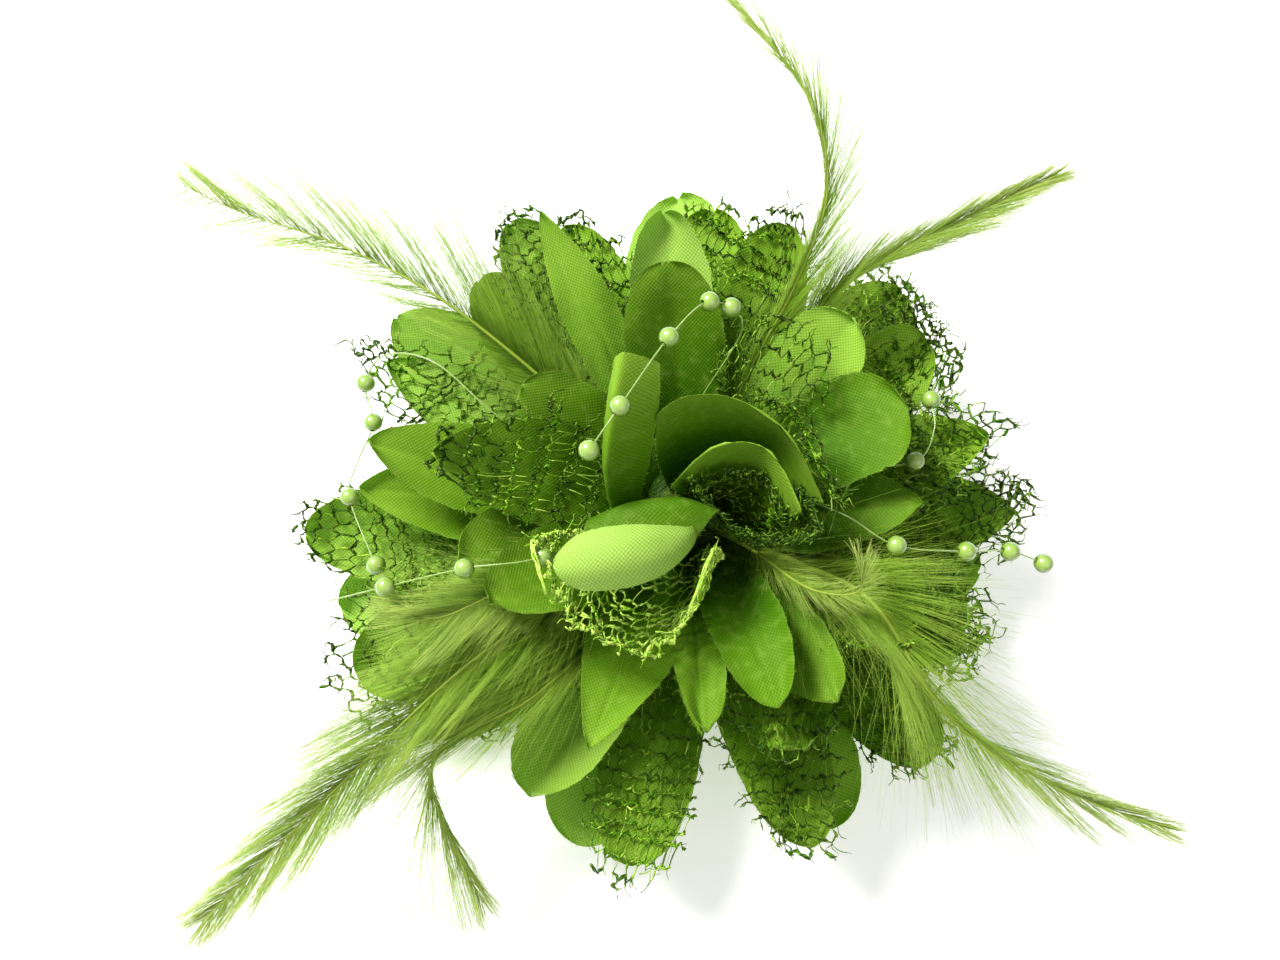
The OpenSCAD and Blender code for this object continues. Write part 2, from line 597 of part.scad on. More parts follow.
module clip_hinge_pin() headed_pin(hinge, clip_pin_r, length = 2 * (pin_head_y + pin_head_t),
    head_r = 1.35, head_t = pin_head_t, head_at = pin_head_y + pin_head_t / 2);

wire_r = 0.28;
wire_sides = 5;
coil_r = 1.45;
coil_steps = 14;          // steps in a turn
coil_pitch = 2 * wire_r + 0.1;
lower_leg_slope = 0.2435;
// a coil around the hinge pin, with a leg at each end that runs toward the
// handle, one along each arm
module clip_spring() {
    start_y = clip_y - spring_turns * coil_pitch / 2;
    end_y = start_y + (spring_turns + 0.5) * coil_pitch;
    upper_leg_z = -clip_t - wire_r - 0.05 - hinge_z;
    path = [
        for (x = [-10, -7, -3.5])
            [hinge_x + x, start_y, hinge_z + mix(coil_r, upper_leg_z, min(1, -x / 8))],
        for (k = [0:spring_turns * coil_steps + coil_steps / 2])
            let (a = 90 - k * 360 / coil_steps)
            [hinge_x + coil_r * cos(a), start_y + k * coil_pitch / coil_steps,
                hinge_z + coil_r * sin(a)],
        for (x = [-2, -5, -8])
            [hinge_x + x, end_y, hinge_z - coil_r + (x + 2) * lower_leg_slope]];
    last = len(path) - 1;
    points = [
        for (i = [0:last])
            let (
                ahead = unit(path[min(last, i + 1)] - path[max(0, i - 1)]),
                sideways = unit(cross(ahead, [0, 1, 0])),
                up = cross(ahead, sideways))
            for (j = [0:wire_sides - 1])
                let (a = j * 360 / wire_sides)
                path[i] + wire_r * (sideways * cos(a) + up * sin(a))];
    color(spring_colour)
        polyhedron(points = points, faces = rod_faces(last, wire_sides), convexity = 8);
}
grip_size = [20, 5.2, 0.7];
module clip_grip_felt() color(felt_colour)
    translate([4, clip_y - grip_size[1] / 2, -clip_t - grip_size[2]]) cube(grip_size);

// ---- brooch pin ------------------------------------------------------------
bar_half = 14;
bar_w = 5;
bar_hole_r = 1;           // holes for the stitches
rivet = [-12, bar_y, -2.4];
rivet_x = rivet[0];
rivet_z = rivet[2];
rivet_r = 0.5;
rivet_head_t = 0.4;
brooch_ear_in = 1.0;      // half the space between the ears
brooch_ear_t = 0.6;
brooch_ear_out = brooch_ear_in + brooch_ear_t;

module brooch_bar() color(metal_colour) difference() {
    union() {
        translate([-bar_half, bar_y - bar_w / 2, -bar_t]) cube([2 * bar_half, bar_w, bar_t]);
        for (y = [bar_y - brooch_ear_out, bar_y + brooch_ear_in])
            plate_xz(ear(rivet_x, root_z = -bar_t / 2, root_half = 1.5,
                tip_z = rivet_z - 1.1, tip_half = 1.1), y, y + brooch_ear_t);
    }
    pin_hole(rivet, rivet_r, 20);
    for (x = [-sew_x, sew_x])
        translate([x, bar_y, -bar_t - cut_over])
            cylinder(r = bar_hole_r, h = bar_t + 2 * cut_over, $fn = 48);
}
module brooch_rivet() headed_pin(rivet, rivet_r, length = 2 * (brooch_ear_out + rivet_head_t),
    head_r = 0.95, head_t = rivet_head_t, head_at = brooch_ear_out + 0.05 + rivet_head_t / 2);

eye_r = 1.15;             // disc around the rivet
eye_w = 1.7;
root_size = [1.8, 1.2, 1];  // flattened root of the needle
point_r = 0.06;
needle_taper_x = 8;       // the point starts to taper just before the catch
module brooch_needle() color(metal_colour) difference() {
    union() {
        translate(rivet) rotate([-90, 0, 0]) cylinder(r = eye_r, h = eye_w, center = true, $fn = 48);
        translate(rivet - [0, root_size[1] / 2, root_size[2] / 2]) cube(root_size);
        translate(rivet) rotate([0, 90, 0])
            cylinder(r = needle_r, h = needle_taper_x - rivet_x, $fn = 32);
        translate([needle_taper_x, bar_y, rivet_z]) rotate([0, 90, 0])
            cylinder(r1 = needle_r, r2 = point_r, h = needle_tip_x - needle_taper_x, $fn = 32);
    }
    pin_hole(rivet, rivet_r, 10);
}

catch_x0 = 8.5;
catch_x1 = 11.5;
// half of the catch's section: [distance from the bar's middle line, z]
CATCH_HALF = [[0.95, -bar_t], [0.95, -2.6], [1.5, -3.7], [1.1, -3.9], [0.52, -2.7], [0.52, -1.3]];
// a trough that takes the needle, open on the side it swings out of
module brooch_catch() color(metal_colour)
    translate([catch_x0, 0, 0]) rotate([90, 0, 90]) linear_extrude(catch_x1 - catch_x0)
        polygon([
            for (p = CATCH_HALF) [bar_y - p[0], p[1]],
            for (i = [len(CATCH_HALF) - 1:-1:0]) [bar_y + CATCH_HALF[i][0], CATCH_HALF[i][1]]]);

backing_felt();
glue_bed();
layer_glue();
centre_stud();
stud_cap();
feather_glue();
satin_layer_1();
satin_layer_2();
satin_layer_3();
satin_layer_4();
satin_layer_5();
satin_layer_6();
satin_layer_7();
satin_layer_8();
net_layer_2();
net_layer_3();
net_layer_4();
net_layer_5();
net_layer_7();
net_layer_8();
feather_upper_left();
feather_top();
feather_upper_right();
feather_lower_left();
feather_left_short();
feather_lower_drop();
feather_lower_right();
feather_centre_curl();
thread_top();
thread_left();
thread_lower_left();
thread_right();
thread_right_short();
pearls_top();
pearls_left();
pearls_lower_left();
pearls_right();
pearls_right_short();
stitches();
clip_base_arm();
clip_moving_arm();
clip_hinge_pin();
clip_spring();
clip_grip_felt();
brooch_bar();
brooch_needle();
brooch_rivet();
brooch_catch();
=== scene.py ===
# A fabric flower on a spring clip: layers of satin and net petals, feathers, beaded threads, felt.
# The flower opens towards +Z around the Z axis, its front is -Y, and the clip lies below it.
# Shapes are modelled in millimetres and written in metres; light and camera are in metres.
import functools
import math
from collections import namedtuple

import bpy
import numpy as np
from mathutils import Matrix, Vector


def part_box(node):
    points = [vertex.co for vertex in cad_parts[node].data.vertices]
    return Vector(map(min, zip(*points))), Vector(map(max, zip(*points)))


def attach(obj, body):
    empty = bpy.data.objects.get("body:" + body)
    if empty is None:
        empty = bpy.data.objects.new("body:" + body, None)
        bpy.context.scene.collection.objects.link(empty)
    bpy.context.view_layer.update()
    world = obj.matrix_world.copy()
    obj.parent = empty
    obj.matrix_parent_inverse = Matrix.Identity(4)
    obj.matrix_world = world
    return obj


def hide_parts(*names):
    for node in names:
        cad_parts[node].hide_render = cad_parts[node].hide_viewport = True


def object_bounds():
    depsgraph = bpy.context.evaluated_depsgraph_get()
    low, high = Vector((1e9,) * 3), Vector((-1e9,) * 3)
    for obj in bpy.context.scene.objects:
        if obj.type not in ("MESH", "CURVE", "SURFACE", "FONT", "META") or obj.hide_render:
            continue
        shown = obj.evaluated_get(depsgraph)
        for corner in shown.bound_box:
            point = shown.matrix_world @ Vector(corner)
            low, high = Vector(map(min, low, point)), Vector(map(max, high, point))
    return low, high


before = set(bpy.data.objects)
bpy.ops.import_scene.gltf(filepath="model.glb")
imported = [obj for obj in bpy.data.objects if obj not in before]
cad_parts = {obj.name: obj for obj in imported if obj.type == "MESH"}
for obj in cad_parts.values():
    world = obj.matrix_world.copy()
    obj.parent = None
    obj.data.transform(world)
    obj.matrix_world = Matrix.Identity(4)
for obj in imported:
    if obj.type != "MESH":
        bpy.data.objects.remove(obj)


def plain(box):
    return [[float(c) for c in corner] for corner in box]


CAD_BOX = plain(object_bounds())
MM = 0.001
PI, TAU = math.pi, math.tau
new_rng = np.random.default_rng

# ---------------------------------------------------------------- small maths


def unit(vectors):
    return vectors / np.maximum(np.linalg.norm(vectors, axis=-1, keepdims=True), 1e-9)


def smooth(x, low, high):
    ramp = np.clip((x - low) / (high - low), 0, 1)
    return ramp * ramp * (3 - 2 * ramp)


def cubic(before, start, end, after, x):
    """Catmull-Rom step from start to end, x in 0..1."""
    return 0.5 * (2 * start + (end - before) * x
                  + (2 * before - 5 * start + 4 * end - after) * x * x
                  + (3 * start - before - 3 * end + after) * x ** 3)


def spline(points, place):
    """Smooth curve through n points; place runs from 0 to n - 1."""
    points = np.asarray(points, float)
    place = np.asarray(place, float)
    last = len(points) - 1
    i = np.clip(np.floor(place).astype(int), 0, last - 1)
    near = [points[np.clip(i + shift, 0, last)] for shift in (-1, 0, 1, 2)]
    return cubic(*near, (place - i)[..., None])


def run_length(points):
    """Distance along a polyline at each of its points."""
    steps = np.linalg.norm(np.diff(points, axis=0), axis=1)
    return np.concatenate([[0], np.cumsum(steps)])


class Waves:
    """A seeded smooth noise of two variables, about -1..1."""

    def __init__(self, seed, scale, terms=5):
        rng = new_rng(seed)
        self.rates = rng.normal(0, 1, (terms, 2)) * scale
        self.phases = rng.uniform(0, TAU, terms)

    def __call__(self, x, y):
        total = sum(np.sin(rate_x * x + rate_y * y + phase)
                    for (rate_x, rate_y), phase in zip(self.rates, self.phases))
        return total / math.sqrt(len(self.phases))


# ---------------------------------------------------------------- mesh builder

# read by the materials: 0..1 from root to tip (on the satin it sets the painted shade towards the
# root), -1..1 side to side, 0..1 from deep to pale (on the satin petals partly painted light and
# shade)
ATTRS = ("along", "across", "tone")


def quads(*corners):
    return np.stack(corners, -1).reshape(-1, 4)


def polar_faces(rings, spokes):
    """Top, underside and outer rim of a flat ring; the underside's points follow the top's."""
    index = np.arange(rings * spokes).reshape(rings, spokes)
    after = np.roll(index, -1, axis=1)
    under = index.size
    top = quads(index[:-1], index[1:], after[1:], after[:-1])
    rim = quads(index[-1], index[-1] + under, after[-1] + under, after[-1])
    return index, after, [top, top[:, ::-1] + under, rim]


class Shape:
    """Collects points, faces and attributes, then becomes one object."""

    def __init__(self):
        self.verts, self.groups, self.count = [], [], 0
        self.attrs = {name: [] for name in ATTRS + ("puv",)}

    def add(self, verts, faces, mat=0, puv=None, **attrs):
        """faces: index arrays, one per face size or part; puv: place on the flat cloth."""
        verts = np.asarray(verts, float).reshape(-1, 3)
        self.groups += [(group + self.count, mat) for group in faces]
        self.verts.append(verts)
        for name in ATTRS:
            values = np.asarray(attrs.get(name, 0.5), float).ravel()
            self.attrs[name].append(np.broadcast_to(values, (len(verts),)))
        self.attrs["puv"].append(verts if puv is None else puv)
        self.count += len(verts)

    def tubes(self, paths, radii, sides=4, flat=1.0, spin=0.0, ref=(0.31, 0.17, 0.93), mat=0,
              **attrs):
        """Closed tubes along paths (tubes, rings, 3); radii, spin, attrs are (tubes, rings)."""
        rings = paths.shape[:2]
        heading = unit(np.gradient(paths, axis=1))
        side = np.cross(heading, np.broadcast_to(ref, heading.shape))
        bad = np.linalg.norm(side, axis=-1, keepdims=True) < 0.05
        side = unit(np.where(bad, np.cross(heading, np.array([1.0, 0.2, 0.1])), side))
        rise = np.cross(side, heading)
        angle = TAU * np.arange(sides) / sides
        wide, high = np.cos(angle), np.sin(angle) * flat
        turn = np.broadcast_to(spin, rings)[..., None]
        wide, high = (wide * np.cos(turn) - high * np.sin(turn),
                      wide * np.sin(turn) + high * np.cos(turn))
        section = side[:, :, None] * wide[..., None] + rise[:, :, None] * high[..., None]
        verts = paths[:, :, None] + section * np.broadcast_to(radii, rings)[:, :, None, None]
        index = np.arange(verts.size // 3).reshape(*rings, sides)
        after = np.roll(index, -1, axis=2)
        walls = quads(index[:, :-1], after[:, :-1], after[:, 1:], index[:, 1:])
        caps = np.concatenate([index[:, 0, ::-1], index[:, -1]])
        self.add(verts, [walls, caps], mat,
                 **{name: np.repeat(np.broadcast_to(value, rings), sides)
                    for name, value in attrs.items()})

    def build(self, name, mats, slot, *nodes, body="flower"):
        verts = np.concatenate(self.verts)
        groups = [group for group, _ in self.groups]
        loops = np.concatenate([group.ravel() for group in groups])
        sizes = np.concatenate([np.full(len(group), group.shape[1]) for group in groups])
        mat = np.concatenate([np.full(len(group), m) for group, m in self.groups])
        mesh = bpy.data.meshes.new(name)
        mesh.vertices.add(len(verts))
        mesh.vertices.foreach_set("co", (verts * MM).astype(np.float32).ravel())
        mesh.loops.add(len(loops))
        mesh.loops.foreach_set("vertex_index", loops.astype(np.int32))
        mesh.polygons.add(len(sizes))
        starts = np.concatenate([[0], np.cumsum(sizes)[:-1]])
        mesh.polygons.foreach_set("loop_start", starts.astype(np.int32))
        mesh.polygons.foreach_set("material_index", mat.astype(np.int32))
        mesh.update(calc_edges=True)
        mesh.validate()
        mesh.polygons.foreach_set("use_smooth", np.full(len(mesh.polygons), True))
        for key, parts in self.attrs.items():
            kind, field = ("FLOAT_VECTOR", "vector") if key == "puv" else ("FLOAT", "value")
            values = np.concatenate(parts).astype(np.float32).ravel()
            mesh.attributes.new(key, kind, "POINT").data.foreach_set(field, values)
        for material in mats:
            mesh.materials.append(material)
        obj = bpy.data.objects.new(name, mesh)
        bpy.context.scene.collection.objects.link(obj)
        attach(obj, body)
        if nodes:
            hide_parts(*nodes)


# ---------------------------------------------------------------- materials


class Nodes:
    """A new material and short calls for its nodes; most return an output socket."""

    def __init__(self, name):
        self.material = bpy.data.materials.new(name)
        self.material.use_nodes = True
        self.tree = self.material.node_tree
        self.tree.nodes.clear()

    def node(self, kind, **props):
        node = self.tree.nodes.new("ShaderNode" + kind)
        for key, value in props.items():
            setattr(node, key, value)
        return node

    def put(self, socket, value):
        if isinstance(value, bpy.types.NodeSocket):
            self.tree.links.new(value, socket)
        elif isinstance(value, tuple) and len(value) == 3 and socket.type == "RGBA":
            socket.default_value = (*value, 1)
        else:
            socket.default_value = value

    @functools.cached_property
    def coords(self):
        return self.node("TexCoord").outputs["Object"]

    def math(self, operation, *values):
        node = self.node("Math", operation=operation)
        for socket, value in zip(node.inputs, (*values, 0.0, 0.0)):
            self.put(socket, value)
        return node.outputs[0]

    def attr(self, name, out="Fac"):
        return self.node("Attribute", attribute_name=name).outputs[out]

    def noise(self, scale, detail=3.0, rough=0.55, out="Fac", coords=None):
        node = self.node("TexNoise")
        self.put(node.inputs["Vector"], coords or self.coords)
        node.inputs["Scale"].default_value = scale
        node.inputs["Detail"].default_value = detail
        node.inputs["Roughness"].default_value = rough
        return node.outputs[out]

    def ramp(self, factor, *stops):
        """stops: position, colour."""
        node = self.node("ValToRGB")
        elements = node.color_ramp.elements
        while len(elements) < len(stops):
            elements.new(0.5)
        for element, (position, colour) in zip(elements, stops):
            element.position, element.color = position, (*colour, 1)
        self.put(node.inputs[0], factor)
        return node.outputs[0]

    def mix(self, factor, first, second, mode="MIX"):
        node = self.node("Mix", data_type="RGBA", blend_type=mode, clamp_factor=True)
        for i, value in ((0, factor), (6, first), (7, second)):
            self.put(node.inputs[i], value)
        return node.outputs[2]

    def tint(self, colour, by):
        return self.mix(1.0, colour, by, "MULTIPLY")

    def remap(self, value, to, span=(0.3, 0.7)):
        node = self.node("MapRange")
        for socket, number in zip(node.inputs, (value, *span, *to)):
            self.put(socket, number)
        return node.outputs[0]

    def bump(self, height, strength, distance):
        node = self.node("Bump")
        node.inputs["Strength"].default_value = strength
        node.inputs["Distance"].default_value = distance
        self.put(node.inputs["Height"], height)
        return node.outputs[0]

    def principled(self, **values):
        """Inputs by name, with _ for a space."""
        node = self.node("BsdfPrincipled")
        for key, value in values.items():
            self.put(node.inputs[key.replace("_", " ")], value)
        return node.outputs[0]

    def let_light_through(self, surface, colour, share, normal=None):
        glow = self.node("BsdfTranslucent")
        self.put(glow.inputs[0], colour)
        if normal is not None:
            self.put(glow.inputs["Normal"], normal)
        blend = self.node("MixShader")
        for socket, value in zip(blend.inputs, (share, surface, glow.outputs[0])):
            self.put(socket, value)
        return blend.outputs[0]

    def finish(self, shader):
        self.put(self.node("OutputMaterial").inputs[0], shader)
        return self.material


WEAVE_PITCH = 0.74


def make_satin():
    """Woven satin: fine plain weave with a soft sheen; painted shade deepens the roots, and each
    petal's tone paints it shaded or lit, up to pale painted light on the tips.
    """
    mat = Nodes("satin_weave")
    mat.coords = mat.attr("puv", "Vector")
    split = mat.node("SeparateXYZ")
    mat.put(split.inputs[0], mat.coords)
    # warp and weft wobble a little, so the weave isn't a perfect screen
    wobble = mat.noise(scale=0.3, detail=2.0)
    threads = []
    for place, amount in zip(split.outputs, (0.6, 0.5)):
        bent = mat.math("ADD", place, mat.math("MULTIPLY", wobble, amount))
        threads.append(mat.math("SINE", mat.math("MULTIPLY", bent, TAU / WEAVE_PITCH)))
    weave = mat.math("MULTIPLY", *threads)
    fine = mat.math("MULTIPLY_ADD", weave, 0.5, 0.5)
    slub = mat.noise(scale=0.5, detail=4.0)
    cloud = mat.noise(scale=0.1)
    along, tone = mat.attr("along"), mat.attr("tone")
    # painted shade: the colour darkens from the tip towards the root
    colour = mat.ramp(along, (0.0, (0.030, 0.105, 0.001)), (0.3, (0.110, 0.290, 0.006)),
                      (0.65, (0.250, 0.490, 0.022)), (1.0, (0.420, 0.670, 0.070)))
    # painted shade: low tone mixes in a darker, shaded copy of the colour
    deep = mat.tint(colour, by=(0.36, 0.46, 0.20))
    colour = mat.mix(mat.remap(tone, span=(0.0, 0.8), to=(0.0, 1.0)), deep, colour)
    # painted light: high tone pales the outer part of the petal
    painted_tip_light = mat.math("MULTIPLY", mat.remap(tone, span=(0.7, 1.0), to=(0.0, 0.75)),
                        mat.remap(along, span=(0.1, 0.6), to=(0.3, 1.0)))
    colour = mat.mix(painted_tip_light, colour, (0.56, 0.80, 0.19))
    colour = mat.mix(mat.remap(cloud, span=(0.35, 0.7), to=(0.0, 0.5)), colour,
                     mat.tint(colour, by=(0.78, 0.88, 0.6)))
    colour = mat.mix(fine, mat.tint(colour, by=(0.60, 0.70, 0.42)),
                     mat.tint(colour, by=(1.12, 1.10, 1.2)))
    colour = mat.mix(mat.remap(slub, span=(0.5, 0.75), to=(0.0, 0.2)), colour,
                     (0.50, 0.70, 0.12))
    edge = mat.math("POWER", mat.math("ABSOLUTE", mat.attr("across")), 30.0)
    colour = mat.mix(mat.math("MULTIPLY", edge, 0.12), colour, (0.50, 0.74, 0.16))
    height = mat.math("ADD", mat.math("MULTIPLY", weave, 0.7), mat.math("MULTIPLY", slub, 0.9))
    normal = mat.bump(height, strength=0.5, distance=0.00009)
    surface = mat.principled(
        Base_Color=colour, Roughness=mat.remap(slub, to=(0.42, 0.6)), Normal=normal,
        Sheen_Weight=0.08, Sheen_Roughness=0.35, Sheen_Tint=(0.75, 0.95, 0.2),
        Specular_IOR_Level=0.22, Specular_Tint=(0.85, 1.0, 0.45), Anisotropic=0.3)
    glow = mat.tint(colour, by=(1.0, 1.05, 0.5))
    return mat.finish(mat.let_light_through(surface, glow, share=0.3, normal=normal))


def make_yarn(name, dark, middle, bright, rough):
    """Crinkled shiny net yarn: dark in the folds, bright where it catches light."""
    mat = Nodes(name)
    fine = mat.noise(scale=900.0)
    broad = mat.noise(scale=130.0, detail=2.0)
    shade = mat.math("ADD", mat.math("MULTIPLY", fine, 0.55), mat.math("MULTIPLY", broad, 0.45))
    tone = mat.math("SUBTRACT", mat.attr("tone"), 0.5)
    shade = mat.math("ADD", shade, mat.math("MULTIPLY", tone, 0.45))
    colour = mat.ramp(shade, (0.34, dark), (0.52, middle), (0.72, bright))
    crimp = mat.noise(scale=3500.0, detail=2.0)
    height = mat.math("ADD", crimp, mat.math("MULTIPLY", fine, 1.5))
    surface = mat.principled(
        Base_Color=colour, Roughness=mat.remap(crimp, to=(rough - 0.1, rough + 0.2)),
        Normal=mat.bump(height, strength=0.8, distance=0.0002),
        Specular_IOR_Level=0.9, Specular_Tint=(0.8, 1.0, 0.35))
    return mat.finish(mat.let_light_through(surface, colour, share=0.15))


def make_feather(name, root, middle, tip):
    mat = Nodes(name)
    patches = mat.noise(scale=160.0)
    streak = mat.noise(scale=1200.0, detail=2.0)
    colour = mat.ramp(mat.attr("along"), (0.0, root), (0.45, middle), (1.0, tip))
    colour = mat.mix(mat.remap(patches, span=(0.4, 0.7), to=(0.0, 0.55)), colour,
                     mat.tint(colour, by=(0.6, 0.74, 0.4)))
    colour = mat.mix(mat.math("MULTIPLY", mat.attr("tone"), 0.45), colour, (0.62, 0.76, 0.14))
    surface = mat.principled(
        Base_Color=colour, Roughness=mat.remap(streak, to=(0.4, 0.65)), Sheen_Weight=0.05,
        Specular_IOR_Level=0.25, Normal=mat.bump(streak, strength=0.3, distance=0.00003))
    return mat.finish(mat.let_light_through(surface, colour, share=0.5))


def make_pearl():
    mat = Nodes("pearl_coat")
    weight = mat.node("LayerWeight")
    weight.inputs["Blend"].default_value = 0.35
    clouds = mat.noise(scale=420.0)
    # painted shade: the colour darkens from the middle of each pearl towards its rim
    colour = mat.ramp(weight.outputs["Facing"],
                      (0.0, (0.34, 0.52, 0.09)), (0.4, (0.17, 0.33, 0.025)),
                      (0.75, (0.045, 0.12, 0.006)), (1.0, (0.02, 0.06, 0.003)))
    colour = mat.mix(mat.remap(clouds, span=(0.4, 0.7), to=(0.0, 0.3)), colour,
                     (0.44, 0.60, 0.20))
    return mat.finish(mat.principled(
        Base_Color=colour, Roughness=mat.remap(clouds, to=(0.22, 0.32)), Coat_Weight=0.8,
        Coat_Roughness=0.05, Specular_IOR_Level=0.8, Subsurface_Weight=0.08,
        Subsurface_Scale=0.0015,
        Normal=mat.bump(mat.noise(scale=1500.0), strength=0.12, distance=0.00004)))


def make_thread():
    mat = Nodes("clear_thread")
    grain = mat.noise(scale=700.0, detail=2.0)
    return mat.finish(mat.principled(
        Base_Color=mat.mix(grain, (0.22, 0.40, 0.05), (0.44, 0.62, 0.15)), Roughness=0.28,
        Transmission_Weight=0.25, Coat_Weight=0.3,
        Normal=mat.bump(grain, strength=0.2, distance=0.00004)))


def make_felt(name, dark, light):
    mat = Nodes(name)
    fibre = mat.noise(scale=900.0, detail=5.0, rough=0.7)
    patches = mat.noise(scale=90.0)
    cells = mat.node("TexVoronoi", feature="DISTANCE_TO_EDGE")
    mat.put(cells.inputs["Vector"], mat.noise(scale=300.0, detail=2.0, out="Color"))
    cells.inputs["Scale"].default_value = 14.0
    colour = mat.mix(fibre, dark, light)
    colour = mat.mix(mat.remap(patches, span=(0.4, 0.7), to=(0.0, 0.4)), colour,
                     mat.tint(colour, by=(0.6, 0.7, 0.5)))
    height = mat.math("ADD", fibre, mat.math("MULTIPLY", cells.outputs[0], 0.5))
    return mat.finish(mat.principled(
        Base_Color=colour, Roughness=0.95, Sheen_Weight=0.6, Sheen_Roughness=0.6,
        Specular_IOR_Level=0.1, Normal=mat.bump(height, strength=0.9, distance=0.0002)))


def make_glue():
    mat = Nodes("hot_glue")
    lumps = mat.noise(scale=250.0)
    return mat.finish(mat.principled(
        Base_Color=mat.mix(lumps, (0.03, 0.09, 0.008), (0.07, 0.15, 0.02)),
        Roughness=mat.remap(lumps, to=(0.35, 0.6)), Specular_IOR_Level=0.3,
        Subsurface_Weight=0.2, Subsurface_Scale=0.002,
        Normal=mat.bump(lumps, strength=0.5, distance=0.0003)))


def make_metal(name, light, dark, rough, scratch):
    """scratch: noise scale along each axis; a low one draws the scratches out that way."""
    mat = Nodes(name)
    mapping = mat.node("Mapping")
    mat.put(mapping.inputs[0], mat.coords)
    mapping.inputs["Scale"].default_value = scratch
    scratches = mat.noise(scale=1.0, detail=4.0, rough=0.6, coords=mapping.outputs[0])
    blotches = mat.noise(scale=140.0, detail=4.0)
    edges = mat.node("NewGeometry").outputs["Pointiness"]
    colour = mat.mix(mat.remap(blotches, span=(0.42, 0.75), to=(0.0, 0.7)), light, dark)
    colour = mat.mix(mat.remap(edges, span=(0.5, 0.58), to=(0.0, 0.5)), colour,
                     (0.88, 0.86, 0.80))
    return mat.finish(mat.principled(
        Base_Color=colour, Metallic=1.0, Coat_Weight=0.15,
        Roughness=mat.math("ADD", mat.math("MULTIPLY", scratches, 0.22), rough),
        Normal=mat.bump(scratches, strength=0.12, distance=0.00003)))


def make_plastic(name, dark, light):
    mat = Nodes(name)
    grain = mat.noise(scale=500.0, detail=4.0)
    return mat.finish(mat.principled(
        Base_Color=mat.mix(grain, dark, light), Roughness=mat.remap(grain, to=(0.6, 0.8)),
        Specular_IOR_Level=0.15, Normal=mat.bump(grain, strength=0.4, distance=0.0001)))


def make_floor():
    mat = Nodes("pale_floor")
    return mat.finish(mat.principled(
        Base_Color=(0.93, 0.93, 0.925), Roughness=0.8, Specular_IOR_Level=0.1,
        Emission_Color=(1.0, 0.995, 0.98), Emission_Strength=0.38))


SATIN = make_satin()
YARN_DARK = make_yarn("net_chain_yarn", dark=(0.028, 0.085, 0.003),
                      middle=(0.075, 0.190, 0.006), bright=(0.42, 0.68, 0.05), rough=0.34)
YARN_LIGHT = make_yarn("net_link_yarn", dark=(0.070, 0.230, 0.004),
                       middle=(0.260, 0.560, 0.015), bright=(0.72, 0.98, 0.18), rough=0.22)
FEATHER = make_feather("feather_barb", root=(0.170, 0.420, 0.010),
                       middle=(0.460, 0.700, 0.060), tip=(0.80, 0.90, 0.34))
QUILL = make_feather("feather_quill", root=(0.22, 0.46, 0.015),
                     middle=(0.52, 0.68, 0.08), tip=(0.60, 0.68, 0.16))
PEARL = make_pearl()
THREAD = make_thread()
FELT = make_felt("green_felt", dark=(0.020, 0.060, 0.008), light=(0.050, 0.120, 0.018))
FELT_FUZZ = make_felt("felt_fuzz", dark=(0.040, 0.100, 0.015), light=(0.090, 0.180, 0.035))
GLUE = make_glue()
NICKEL = make_metal("nickel_sheet", light=(0.70, 0.69, 0.66), dark=(0.50, 0.49, 0.46),
                    rough=0.16, scratch=(30.0, 1800.0, 1800.0))
WIRE = make_metal("spring_wire", light=(0.56, 0.56, 0.58), dark=(0.36, 0.36, 0.38),
                  rough=0.2, scratch=(900.0, 900.0, 900.0))
STUD = make_plastic("dark_green_plastic", dark=(0.012, 0.035, 0.004),
                    light=(0.03, 0.075, 0.008))
STITCH = make_feather("sewing_thread", root=(0.05, 0.13, 0.01), middle=(0.07, 0.17, 0.02),
                      tip=(0.10, 0.22, 0.03))

# ---------------------------------------------------------------- the stack

HUB_R, NET_HUB_R = 8.0, 7.0
FOOT = 4.6  # petal width at the hub
# the stack from the bottom up: S satin, N net, P lower pad, T top pad
SHEETS = "SSNSNSNSNPSSNTSN"
THICKNESS = {"N": 0.3, "S": 0.4, "P": 2.2, "T": 1.5}
STACK_Z, SHEET_GAP = 2.6, 0.5
PAD, TOP_PAD = SHEETS.index("P"), SHEETS.index("T")
SATIN_SHEETS = [i for i, kind in enumerate(SHEETS) if kind == "S"]


def sheet_mid(index):
    """Height of a sheet's middle; there is no gap next to a pad."""
    z = STACK_Z
    for here, above in zip(SHEETS[:index], SHEETS[1:index + 1]):
        z += THICKNESS[here] + (SHEET_GAP if {here, above} <= set("NS") else 0)
    return z + THICKNESS[SHEETS[index]] / 2


# azimuth in degrees, distance and height of the tip, width; bend and rise: how far out and up
# the middle control point lies; cup, twist and fold of the blade
Petal = namedtuple("Petal", "azimuth reach tip width bend rise cup twist fold", defaults=(0, 0))


def ring(start, nudges, reaches, tips, width, rise, cup):
    """Seven evenly spread petals, each nudged a few degrees."""
    return [Petal(start + i * 360 / 7 + nudge, reach, tip, width, 0.5, rise, cup, -7 if i % 2 else 6)
            for i, (nudge, reach, tip) in enumerate(zip(nudges, reaches, tips))]


def petals(bend, rise, *rows):
    """rows: azimuth, reach, tip, width, cup and, where not 0, twist, fold."""
    return [Petal(*row[:4], bend, rise, *row[4:]) for row in rows]


